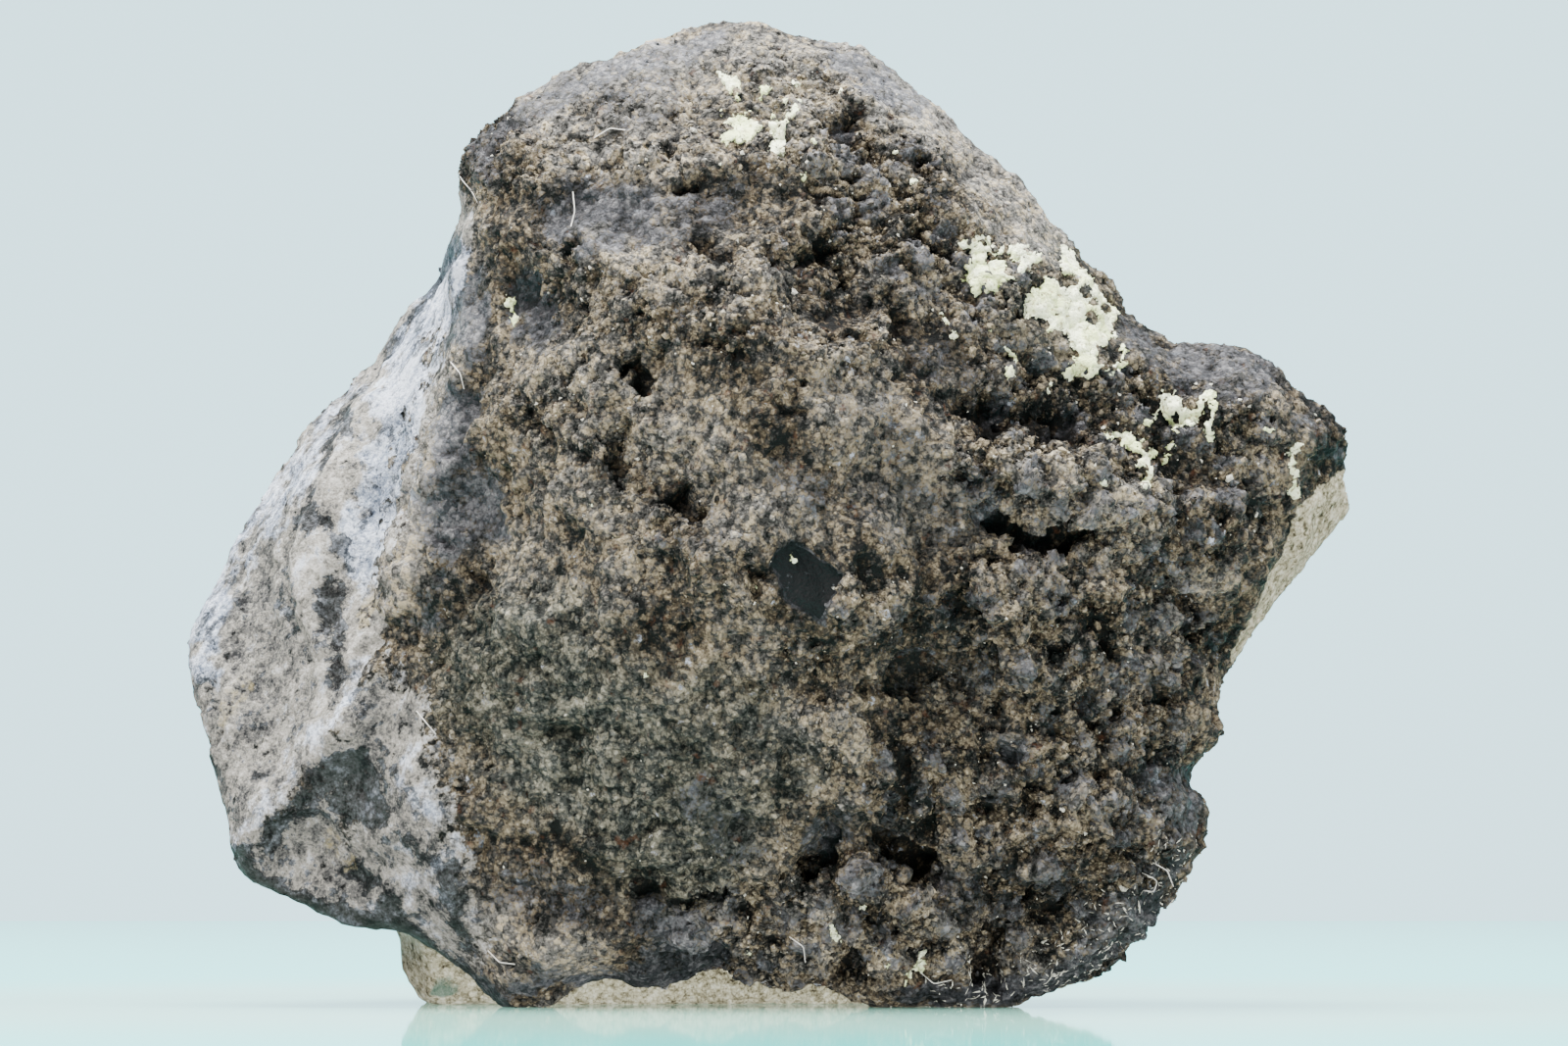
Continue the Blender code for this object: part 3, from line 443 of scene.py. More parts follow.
# Forms finer than the solid's: what stands out is positive.
RELIEF_PATCHES = (
    # holes and hollows above the middle
    Patch(((-4.4, 42.4),), 0.45, -1.1), Patch(((-10.8, 38.9),), 0.5, -0.8),
    Patch(((2.5, 39.8), (3.8, 37.2)), 0.35, -0.9), Patch(((-7.6, 33.4), (-6.7, 32.4)), 0.5, -0.9),
    Patch(((-4.9, 27.0), (-4.6, 26.0)), 0.5, -0.9), Patch(((-8.6, 29.0), (-7.4, 27.4)), 0.4, -0.7),
    Patch(((3.0, 45.6), (5.2, 43.6)), 0.6, -0.6), Patch(((1.6, 38.4), (3.6, 35.6)), 1.3, -0.35),
    Patch(((-12.6, 38.0), (-12.2, 35.6)), 0.9, -0.3), Patch(((-2.2, 34.2), (-1.2, 33.2)), 0.4, -0.6),
    Patch(((0.6, 31.2), (1.8, 30.4)), 0.4, -0.6), Patch(((-12.2, 30.8), (-11.4, 29.6)), 0.4, -0.6),
    Patch(((-3.6, 39.2), (-2.4, 38.8)), 0.4, -0.6), Patch(((7.4, 40.4), (8.6, 39.2)), 0.4, -0.7),
    Patch(((5.6, 36.2), (6.6, 35.0)), 0.4, -0.6),
    Patch(((10.3, 30.7), (13.0, 30.0), (15.8, 29.8)), 0.6, -0.9),
    Patch(((9.4, 27.4), (10.4, 26.8)), 0.4, -0.8),
    Patch(((11.3, 25.0), (12.6, 24.2), (14.2, 23.8)), 0.5, -1.1),
    Patch(((14.7, 24.6), (15.8, 23.8)), 0.5, -1.1),
    # holes and hollows below the middle
    Patch(((-0.9, 22.0),), 0.45, -0.7), Patch(((6.0, 16.8), (7.4, 17.6), (9.2, 17.0)), 0.9, -0.35),
    Patch(((20.8, 20.9), (22.1, 19.3)), 0.5, -1.0), Patch(((16.6, 19.8), (17.2, 18.6)), 0.45, -0.8),
    Patch(((9.6, 20.6), (10.6, 19.6)), 0.45, -0.8), Patch(((14.9, 11.8),), 0.55, -1.1),
    Patch(((13.3, 11.1), (13.3, 10.3)), 0.35, -0.9), Patch(((13.6, 9.5),), 0.45, -1.0),
    Patch(((18.8, 7.1),), 0.45, -0.9), Patch(((2.0, 7.0), (3.2, 8.8)), 0.3, -1.0),
    Patch(((5.8, 8.2), (7.6, 7.0)), 0.6, -1.1), Patch(((4.6, 4.8), (5.8, 4.8)), 0.45, -0.8),
    Patch(((11.2, 3.8), (11.2, 1.6)), 0.45, -1.0), Patch(((3.3, 2.2), (4.4, 2.0)), 0.5, -0.9),
    Patch(((13.5, 5.3),), 0.4, -0.8), Patch(((-7.0, 5.9), (-4.6, 5.7), (-2.6, 6.2)), 0.4, -0.7),
    Patch(((-1.6, 4.6), (-0.6, 5.2)), 0.4, -0.6), Patch(((16.2, 15.6), (17.4, 14.8)), 0.45, -0.8),
    Patch(((-16.9, 23.8),), 0.35, -0.5), Patch(((-14.9, 22.2),), 0.35, -0.6),
    Patch(((20.2, 16.0),), 0.45, -0.8),
    # knobs
    Patch(((-7.6, 43.6),), 0.4, 0.35, 1.8), Patch(((-6.9, 42.9),), 0.8, 0.35, 1.8),
    Patch(((-6.9, 42.9),), 0.25, -0.35, 1.8), Patch(((13.9, 7.0),), 0.9, 0.5, 1.8),
    Patch(((4.2, 6.8),), 0.8, 0.4, 1.8), Patch(((7.2, 4.8), (8.8, 4.8)), 0.8, 0.5),
    Patch(((1.2, 6.0),), 0.8, 0.35, 1.8), Patch(((-4.0, 4.3),), 0.8, 0.5, 1.8),
    Patch(((19.4, 24.0),), 0.7, 0.4, 1.8), Patch(((12.4, 27.2),), 1.2, 0.5, 1.8),
    Patch(((15.6, 26.6),), 1.4, 0.5, 1.8), Patch(((18.4, 25.6),), 1.1, 0.45, 1.8),
    Patch(((11.4, 21.4),), 0.9, 0.4, 1.8), Patch(((14.4, 20.8),), 1.0, 0.5, 1.8),
    Patch(((17.4, 21.6),), 0.9, 0.4, 1.8), Patch(((12.8, 17.4),), 0.8, 0.4, 1.8),
    Patch(((18.6, 17.6),), 0.8, 0.4, 1.8), Patch(((10.2, 14.4),), 0.9, 0.35, 1.8),
    Patch(((16.0, 9.4),), 0.8, 0.35, 1.8), Patch(((17.6, 5.4),), 0.8, 0.35, 1.8),
    Patch(((-9.0, 12.6), (-8.2, 11.4)), 0.4, 0.25),
    # the ledges of the flank
    Area((
        (-15.8, 38.9), (-18.6, 34.6), (-22.0, 30.0), (-24.1, 25.1), (-24.6, 21.5), (-23.4, 18.4),
        (-21.6, 17.6), (-19.0, 20.4), (-16.6, 27.6), (-15.0, 34.0),
    ), 0.35, 0.35, 0.25),
    Area((
        (-24.0, 25.4), (-23.2, 24.4), (-22.9, 22.0), (-23.1, 19.4), (-22.5, 17.4), (-23.2, 16.6),
        (-24.4, 20.0), (-24.7, 22.6),
    ), 0.3, 0.3, 0.2),
    Patch(((-22.2, 24.0), (-22.2, 21.0), (-21.9, 17.0)), 0.6, -0.2),
    Patch(((-25.4, 28.0), (-26.8, 22.0), (-26.6, 16.0)), 0.9, -0.25),
    Patch(((-19.4, 29.4), (-20.6, 25.6)), 0.7, -0.25),
    Patch(((-20.4, 17.6), (-22.8, 13.8), (-25.2, 10.2), (-27.4, 8.2)), 0.3, 0.12, 0.1),
    Patch(((-24.6, 8.6), (-21.6, 7.2)), 1.3, -0.3), Patch(((-22.4, 31.4), (-20.4, 33.4)), 0.6, -0.25),
    Patch(((-17.2, 29.4), (-18.4, 24.6), (-19.2, 22.0)), 0.4, 0.3),
    Patch(((-28.6, 13.6), (-28.9, 16.0)), 0.6, -0.25),
    # cracks
    Patch(((-21.4, 11.8), (-20.7, 10.6), (-20.6, 9.6)), 0.12, -0.25),
    Patch(((-11.2, 13.8), (-8.8, 14.4)), 0.3, -0.3), Patch(((16.2, 41.2), (17.4, 38.6)), 0.2, -0.2),
)


def sampled(points: np.ndarray, size: float, seed: float, read: Callable[[Vector], float]) -> np.ndarray:
    """A noise, read at each point.

    Args:
        points: one row for each point, in millimetres.
        size: the noise's wave length in millimetres.
        seed: shifts the noise, so that two of one size differ.
        read: reads the noise at one point.

    Returns:
        The value at each point.
    """
    return np.array([read(Vector(point)) for point in points / size + seed])


def rounded_cell(point: Vector) -> float:
    """A field of rounded grains: high in the middle of each and low between them.

    Args:
        point: where to read it.

    Returns:
        From 0 between grains to 1 on top of one.
    """
    distances, _ = noise.voronoi(point)
    return max(0.0, 1.0 - 1.6 * distances[0] ** 2) * min(1.0, 3.0 * (distances[1] - distances[0]) + 0.3)


def cloud(point: Vector) -> float:
    """Soft clouds.

    Args:
        point: where to read them.

    Returns:
        About -1 to 1.
    """
    return noise.fractal(point, 1.0, 2.0, 3)


def swayed(points: np.ndarray, size: float, seeds: Sequence[float]) -> np.ndarray:
    """Soft clouds, a different one along each direction.

    Args:
        points: one row for each point, in millimetres.
        size: their wave length in millimetres.
        seeds: a seed for each direction.

    Returns:
        One row for each point.
    """
    return np.stack([sampled(points, size, seed, cloud) for seed in seeds], axis=1)


def above_floor(points: np.ndarray) -> np.ndarray:
    """Lifts points that are under the floor onto it.

    Args:
        points: the points.

    Returns:
        The lifted points.
    """
    lifted = points.copy()
    lifted[..., 2] = np.maximum(lifted[..., 2], 0.0)
    return lifted


def move_points(mesh: bpy.types.Mesh, points: np.ndarray) -> None:
    """Puts a mesh's points somewhere else.

    Args:
        mesh: the mesh, in metres.
        points: one row for each vertex, in millimetres.
    """
    mesh.vertices.foreach_set("co", (points * MM).astype(np.float32).ravel())


def mesh_points(mesh: bpy.types.Mesh) -> np.ndarray:
    """A mesh's points in millimetres.

    Args:
        mesh: the mesh, in metres.

    Returns:
        One row for each vertex.
    """
    flat = np.empty(len(mesh.vertices) * 3, np.float32)
    mesh.vertices.foreach_get("co", flat)
    return flat.reshape(-1, 3).astype(float) / MM


def mesh_normals(mesh: bpy.types.Mesh) -> np.ndarray:
    """A mesh's vertex normals.

    Args:
        mesh: the mesh.

    Returns:
        One row for each vertex.
    """
    flat = np.empty(len(mesh.vertices) * 3, np.float32)
    mesh.vertex_normals.foreach_get("vector", flat)
    return flat.reshape(-1, 3).astype(float)


def store(mesh: bpy.types.Mesh, name: str, values: np.ndarray) -> None:
    """Keeps one value for each vertex, for a material to read.

    Args:
        mesh: the mesh.
        name: the attribute's name.
        values: the values.
    """
    layer = mesh.attributes.new(name, "FLOAT", "POINT")
    layer.data.foreach_set("value", values.astype(np.float32))


def evaluated_mesh(thing: bpy.types.Object) -> bpy.types.Mesh:
    """A new mesh with the object's modifiers applied.

    Args:
        thing: the object.

    Returns:
        The mesh.
    """
    bpy.context.view_layer.update()
    return bpy.data.meshes.new_from_object(thing.evaluated_get(bpy.context.evaluated_depsgraph_get()))


def add_object(name: str, data: bpy.types.ID) -> bpy.types.Object:
    """Puts an object into the scene.

    Args:
        name: its name.
        data: its mesh, light or camera.

    Returns:
        The object.
    """
    thing = bpy.data.objects.new(name, data)
    bpy.context.scene.collection.objects.link(thing)
    return thing


def add_piece(
    name: str, mesh: bpy.types.Mesh, material: bpy.types.Material, smooth: bool = True
) -> bpy.types.Object:
    """Puts a piece of the specimen into the scene, riding on the stone.

    Args:
        name: the piece's name.
        mesh: its mesh, in metres.
        material: its material.
        smooth: whether its facets are shaded as one skin.

    Returns:
        The object.
    """
    piece = add_object(name, mesh)
    mesh.materials.clear()
    mesh.materials.append(material)
    if smooth:
        mesh.shade_smooth()
    else:
        mesh.shade_flat()
    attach(piece, "root")
    LOG.info("%s: %d faces", name, len(mesh.polygons))
    return piece


class Socket:
    """One value of a material's node tree. Arithmetic on it adds Math nodes."""

    def __init__(self, shader: "Shader", output: bpy.types.NodeSocket) -> None:
        """Wraps an output.

        Args:
            shader: the tree that it belongs to.
            output: the node's output.
        """
        self.shader = shader
        self.output = output

    def _math(self, operation: str, *others: "Socket | float", reverse: bool = False) -> "Socket":
        values = [self, *others]
        if reverse:
            values.reverse()
        return self.shader.node("ShaderNodeMath", {"operation": operation}, dict(enumerate(values)))

    def __add__(self, other: "Socket | float") -> "Socket":
        return self._math("ADD", other)

    def __sub__(self, other: "Socket | float") -> "Socket":
        return self._math("SUBTRACT", other)

    def __rsub__(self, other: float) -> "Socket":
        return self._math("SUBTRACT", other, reverse=True)

    def __mul__(self, other: "Socket | float") -> "Socket":
        return self._math("MULTIPLY", other)

    def clamped(self) -> "Socket":
        """The value held between 0 and 1.

        Returns:
            The held value.
        """
        return self._math("MAXIMUM", 0.0)._math("MINIMUM", 1.0)


class Shader:
    """Builds one material's node tree."""

    def __init__(self, name: str) -> None:
        """Starts a material with nothing but its surface.

        Args:
            name: the material's name.
        """
        self.material = bpy.data.materials.new(name)
        self.material.use_nodes = True
        self.tree = self.material.node_tree
        self.surface = self.tree.nodes["Principled BSDF"]
        self.where = self.node("ShaderNodeTexCoord", {}, {}, "Object")

    def node(self, kind: str, settings: dict, inputs: dict, output: int | str = 0) -> Socket:
        """Adds a node.

        Args:
            kind: the node's type.
            settings: the node's own properties.
            inputs: a value or a Socket for each input's name or number.
            output: which output is wanted.

        Returns:
            The output.
        """
        made = self.tree.nodes.new(kind)
        for key, value in settings.items():
            setattr(made, key, value)
        for key, value in inputs.items():
            if isinstance(value, Socket):
                self.tree.links.new(value.output, made.inputs[key])
            else:
                made.inputs[key].default_value = value
        return Socket(self, made.outputs[output])

    def adjust(self, settings: dict[str, float | tuple[float, ...]]) -> None:
        """Sets inputs of the surface.

        Args:
            settings: a value for each input's name.
        """
        for name, value in settings.items():
            self.surface.inputs[name].default_value = value

    def attribute(self, zone: Zone | str) -> Socket:
        """A value stored on the mesh.

        Args:
            zone: the attribute, or its name.

        Returns:
            The value.
        """
        name = zone.value if isinstance(zone, Zone) else zone
        return self.node("ShaderNodeAttribute", {"attribute_name": name}, {}, "Fac")

    def noise(
        self, size: float, detail: float = 3.0, roughness: float = 0.55, distortion: float = 0.0
    ) -> Socket:
        """Clouds of noise.

        Args:
            size: their wave length in millimetres.
            detail: how many finer layers they have.
            roughness: how strong the finer layers are.
            distortion: how twisted they are.

        Returns:
            About 0.3 to 0.7, and 0.5 on average.
        """
        inputs = {
            "Vector": self.where, "Scale": 1.0 / (size * MM), "Detail": detail, "Roughness": roughness,
            "Distortion": distortion,
        }
        return self.node("ShaderNodeTexNoise", {}, inputs, "Fac")

    def streaks(self, size: float, stretch: float, lean: float) -> Socket:
        """Noise drawn out along a slant.

        Args:
            size: its wave length across, in millimetres.
            stretch: how many times longer it is along the slant.
            lean: how far the slant leans over, in radians.

        Returns:
            About 0.3 to 0.7.
        """
        scale = (1.0, 1.0, 1.0 / stretch)
        turn = {"Vector": self.where, "Angle": lean}
        turned = self.node("ShaderNodeVectorRotate", {"rotation_type": "Y_AXIS"}, turn)
        drawn = self.node("ShaderNodeVectorMath", {"operation": "MULTIPLY"}, {0: turned, 1: scale})
        inputs = {"Vector": drawn, "Scale": 1.0 / (size * MM), "Detail": 3.0}
        return self.node("ShaderNodeTexNoise", {}, inputs, "Fac")

    def cells(self, size: float, output: str = "Distance") -> Socket:
        """Grains, each with its own tone.

        Args:
            size: their size in millimetres.
            output: "Distance" for how far their middle is, or "Color" for their tone.

        Returns:
            The distance, 0 to about 0.7, or the tone, 0 to 1.
        """
        inputs = {"Vector": self.where, "Scale": 1.0 / (size * MM)}
        return self.node("ShaderNodeTexVoronoi", {}, inputs, output)

    def step(self, value: Socket, low: float, high: float) -> Socket:
        """An even curve from 0 at low to 1 at high.

        Args:
            value: what is measured.
            low: where the curve leaves 0.
            high: where it reaches 1.

        Returns:
            The curve's height.
        """
        inputs = {"Value": value, "From Min": low, "From Max": high}
        return self.node("ShaderNodeMapRange", {"interpolation_type": "SMOOTHSTEP"}, inputs)

    def mix(self, factor: Socket | float, first: Socket | Colour, second: Socket | Colour) -> Socket:
        """Mixes two colours.

        Args:
            factor: how much of the second.
            first: the first colour.
            second: the second colour.

        Returns:
            The mixed colour.
        """
        inputs = {0: factor}
        for key, value in ((6, first), (7, second)):
            inputs[key] = value if isinstance(value, Socket) else (*value, 1.0)
        return self.node("ShaderNodeMix", {"data_type": "RGBA"}, inputs, 2)

    def finish(
        self, colour: Socket, roughness: Socket | float, height: Socket | None = None, bump: float = 0.0
    ) -> bpy.types.Material:
        """Joins the surface up.

        Args:
            colour: the base colour.
            roughness: the roughness.
            height: the relief that the bump follows, if there is one.
            bump: how deep the bump is, in millimetres.

        Returns:
            The material.
        """
        self.tree.links.new(colour.output, self.surface.inputs["Base Color"])
        if isinstance(roughness, Socket):
            self.tree.links.new(roughness.output, self.surface.inputs["Roughness"])
        else:
            self.surface.inputs["Roughness"].default_value = roughness
        if height is not None:
            inputs = {"Strength": 1.0, "Distance": bump * MM, "Height": height}
            bumped = self.node("ShaderNodeBump", {}, inputs)
            self.tree.links.new(bumped.output, self.surface.inputs["Normal"])
        return self.material


@dataclass(frozen=True)
class Ramp:
    """Four tones from darkest to brightest: the darkest serves as painted shade in hollows, the brightest
    for dust and painted light on tops.
    """

    hollow: Colour
    low: Colour
    middle: Colour
    high: Colour

    def over(self, shader: Shader, light: Socket) -> Socket:
        """The tone for a lightness.

        Args:
            shader: the material that is being built.
            light: the lightness, about -1 to 1.

        Returns:
            The colour.
        """
        colour = self.hollow
        for start, end, tone in zip(TONE_STOPS[:-1], TONE_STOPS[1:], (self.low, self.middle, self.high)):
            colour = shader.mix(shader.step(light, start, end), colour, tone)
        return colour


@dataclass(frozen=True)
class SlateFinish:
    """Burnt slate under soil: crumbling brown and grey, with smooth dark spots and a pale flank. Its tones
    also hold painted light and shade: raised relief and the top lighter, hollows and cracks darker, a
    blue-white highlight on the flank and aqua floor light at the foot.
    """

    soil: Ramp = Ramp(srgb(20, 16, 12), srgb(59, 52, 42), srgb(102, 93, 77), srgb(152, 141, 118))
    ash: Ramp = Ramp(srgb(18, 18, 17), srgb(54, 53, 51), srgb(94, 92, 88), srgb(147, 144, 138))
    bare_and_shade: Ramp = Ramp(srgb(13, 13, 15), srgb(36, 37, 41), srgb(62, 64, 70), srgb(110, 112, 118))
    flank: Ramp = Ramp(srgb(42, 42, 43), srgb(82, 81, 79), srgb(120, 117, 110), srgb(155, 152, 146))
    blue_and_highlight: Ramp = Ramp(srgb(44, 50, 61), srgb(84, 92, 106), srgb(124, 132, 145), srgb(176, 183, 194))
    stain: Ramp = Ramp(srgb(9, 10, 12), srgb(27, 30, 34), srgb(56, 60, 66), srgb(110, 114, 120))
    cut: Ramp = Ramp(srgb(56, 50, 38), srgb(120, 114, 93), srgb(160, 154, 130), srgb(192, 188, 168))
    green_tint: Ramp = Ramp(srgb(20, 23, 21), srgb(52, 57, 53), srgb(86, 92, 86), srgb(134, 142, 134))
    black: Colour = srgb(15, 15, 16)
    buff: Colour = srgb(140, 129, 98)
    rust: Colour = srgb(96, 62, 42)
    painted_aqua_bounce: Colour = srgb(62, 96, 86)
    speck: Colour = srgb(196, 194, 180)
    lean: float = math.radians(-36.0)

    def material(self) -> bpy.types.Material:
        """Builds the material.

        Returns:
            The material.
        """
        shader = Shader("burnt_slate")
        shader.adjust({"Specular IOR Level": 0.12})
        height = shader.attribute(Zone.HEIGHT_AND_SHADE)
        bareness_and_shade = shader.attribute(Zone.BARE_AND_SHADE)
        jitter = shader.attribute("jitter")
        dust_and_top_light = shader.attribute(Zone.DUST_AND_TOP_LIGHT)
        broad = shader.noise(4.6, 3.0)
        middle = shader.noise(1.5, 4.0, 0.62)
        fine = shader.noise(0.46, 4.0, 0.66)
        tiny = shader.noise(0.13, 2.0, 0.6)
        grain = shader.cells(0.30, "Color") - 0.5
        seam = shader.step(shader.cells(0.30), 0.30, 0.62)
        speckle = (fine - 0.5) * 2.4 + (tiny - 0.5) * 1.4
        grit = grain * 0.8 - seam * 0.25 + 0.05

        # Lightness: grain, specks and clouds of tone, with painted light on raised relief and painted shade
        # in hollows from the height, and dust that is brightened partly as painted light from above.
        light = speckle + grit + (middle - 0.5) * 1.5 + (broad - 0.5) * 1.0
        light = light + height * 0.42 + jitter * 0.6 + dust_and_top_light * 0.40 - 0.10
        warmth = (fine - 0.5) * 1.6 + (middle - 0.5) * 1.2 + grain * 0.5 - dust_and_top_light * 0.12
        warmth = shader.step(warmth, -0.22, 0.16)
        face = shader.mix(warmth, self.ash.over(shader, light), self.soil.over(shader, light))
        green = shader.attribute(Zone.GREEN)
        # A greenish tint in the green patches, mostly towards the bottom.
        face = shader.mix((green * 0.6).clamped(), face, self.green_tint.over(shader, light))
        reddish = shader.step(shader.noise(0.8, 3.0), 0.62, 0.76)
        face = shader.mix(reddish * 0.28, face, self.rust)
        # Smooth dark stone, and in two patches painted shade in a hollow and a crack.
        bare_and_shade = bareness_and_shade + (middle - 0.5) * 2.0 + (fine - 0.5) * 2.4 + (tiny - 0.5) * 1.4
        spot = shader.step(bare_and_shade, 0.45, 0.9)
        face = shader.mix(spot * 0.85, face, self.bare_and_shade.over(shader, light * 0.8))
        glassy = shader.step(bareness_and_shade, 1.25, 1.35)
        face = shader.mix(glassy, face, self.black)
        face = shader.mix(shader.step(jitter, 1.1, 1.2), face, self.speck)

        brushed = (shader.streaks(1.1, 2.4, self.lean) - 0.5) * 1.9
        # On the flank the height also paints light on raised parts and shade in hollows.
        calm = speckle * 1.2 + grain * 0.6 + (middle - 0.5) * 1.2 + brushed + height * 0.3
        # The flank's blue-white bands: partly its own tone, partly painted highlight.
        blue_and_highlight = shader.attribute(Zone.BLUE_AND_HIGHLIGHT) + (middle - 0.5) * 2.4 + (fine - 0.5) * 1.2 + brushed * 0.4
        blue_and_highlight = shader.step(blue_and_highlight, 0.15, 0.75)
        side = shader.mix(blue_and_highlight, self.flank.over(shader, calm + 0.18), self.blue_and_highlight.over(shader, calm + 0.32))
        mottle = shader.noise(1.7, 5.0, 0.74, 0.3) + bareness_and_shade * 0.34 - brushed * 0.10
        mottle = shader.step(mottle + (fine - 0.5) * 0.9, 0.59, 0.69)
        side = shader.mix(mottle * 0.9, side, self.stain.over(shader, calm - bareness_and_shade * 0.4))
        buff = shader.step(shader.attribute(Zone.BUFF) + (fine - 0.5) * 1.4, 0.35, 0.75)
        side = shader.mix(buff * 0.6, side, self.buff)
        flank = shader.attribute(Zone.FLANK) + (middle - 0.5) * 1.8 + (fine - 0.5) * 2.0
        flank = shader.step(flank, 0.38, 0.62)
        colour = shader.mix(flank, face, side)

        pale = shader.step(shader.attribute(Zone.PALE) + (middle - 0.5) * 0.7, 0.35, 0.65)
        colour = shader.mix(pale, colour, self.cut.over(shader, speckle * 1.4 + grit + 0.26))
        # Painted aqua light from the glass floor, on the pale foot where it meets the greenish bottom.
        painted_aqua_bounce = shader.step(green * pale + (fine - 0.5) * 0.9 + (middle - 0.5) * 0.6, 0.45, 0.95)
        colour = shader.mix(painted_aqua_bounce * 0.75, colour, self.painted_aqua_bounce)

        shine = 0.92 - spot * 0.24
        relief = fine * 0.7 + tiny * 0.35 - seam * 0.16
        depth = relief * (1.0 - flank * 0.5 - spot * 0.35)
        return shader.finish(colour, shine, depth, 0.26)


@dataclass(frozen=True)
class CrustFinish:
    """The pale mineral: chalky, yellow-green to white, with painted shade in its creases."""

    pale: Colour = srgb(238, 245, 208)
    green: Colour = srgb(217, 228, 166)
    shade: Colour = srgb(142, 136, 98)

    def material(self) -> bpy.types.Material:
        """Builds the material.

        Returns:
            The material.
        """
        shader = Shader("pale_crust")
        broad = shader.noise(1.4, 3.0)
        fine = shader.noise(0.3, 4.0, 0.65)
        colour = shader.mix(shader.step(broad, 0.42, 0.60), self.pale, self.green)
        # Painted shade in the creases, where the bump is low.
        colour = shader.mix(shader.step(fine, 0.48, 0.32), colour, self.shade)
        return shader.finish(colour, 0.85, fine + shader.noise(0.12) * 0.5, 0.24)


@dataclass(frozen=True)
class PlainFinish:
    """An even surface, which may glow."""

    name: str
    colour: Colour
    roughness: float
    glow: float = 0.0

    def material(self) -> bpy.types.Material:
        """Builds the material.

        Returns:
            The material.
        """
        shader = Shader(self.name)
        shader.adjust({
            "Base Color": (*self.colour, 1.0), "Roughness": self.roughness, "Specular IOR Level": 0.0,
            "Emission Color": (*self.colour, 1.0), "Emission Strength": self.glow,
        })
        return shader.material


@dataclass(frozen=True)
class FloorFinish:
    """A pale glossy floor, faintly aqua away from the stone.

    Attributes:
        near: its colour under the stone.
        far: its colour away from it.
        reach: between which distances from the stone's middle it changes, in metres.
        coat: how much of a glossy coat it has.
        glow: how much light it gives.
    """

    near: Colour = srgb(142, 200, 182)
    far: Colour = srgb(72, 216, 208)
    reach: tuple[float, float] = (0.030, 0.085)
    coat: float = 0.85
    glow: float = 0.44

    def material(self) -> bpy.types.Material:
        """Builds the material.

        Returns:
            The material.
        """
        shader = Shader("floor")
        spot = shader.node("ShaderNodeNewGeometry", {}, {}, "Position")
        distance = shader.node("ShaderNodeVectorMath", {"operation": "LENGTH"}, {0: spot}, "Value")
        colour = shader.mix(shader.step(distance, *self.reach), self.near, self.far)
        shader.tree.links.new(colour.output, shader.surface.inputs["Emission Color"])
        shader.adjust({
            "Specular IOR Level": 0.0, "Coat Weight": self.coat, "Coat Roughness": 0.04,
            "Emission Strength": self.glow,
        })
        return shader.finish(colour, 0.9)


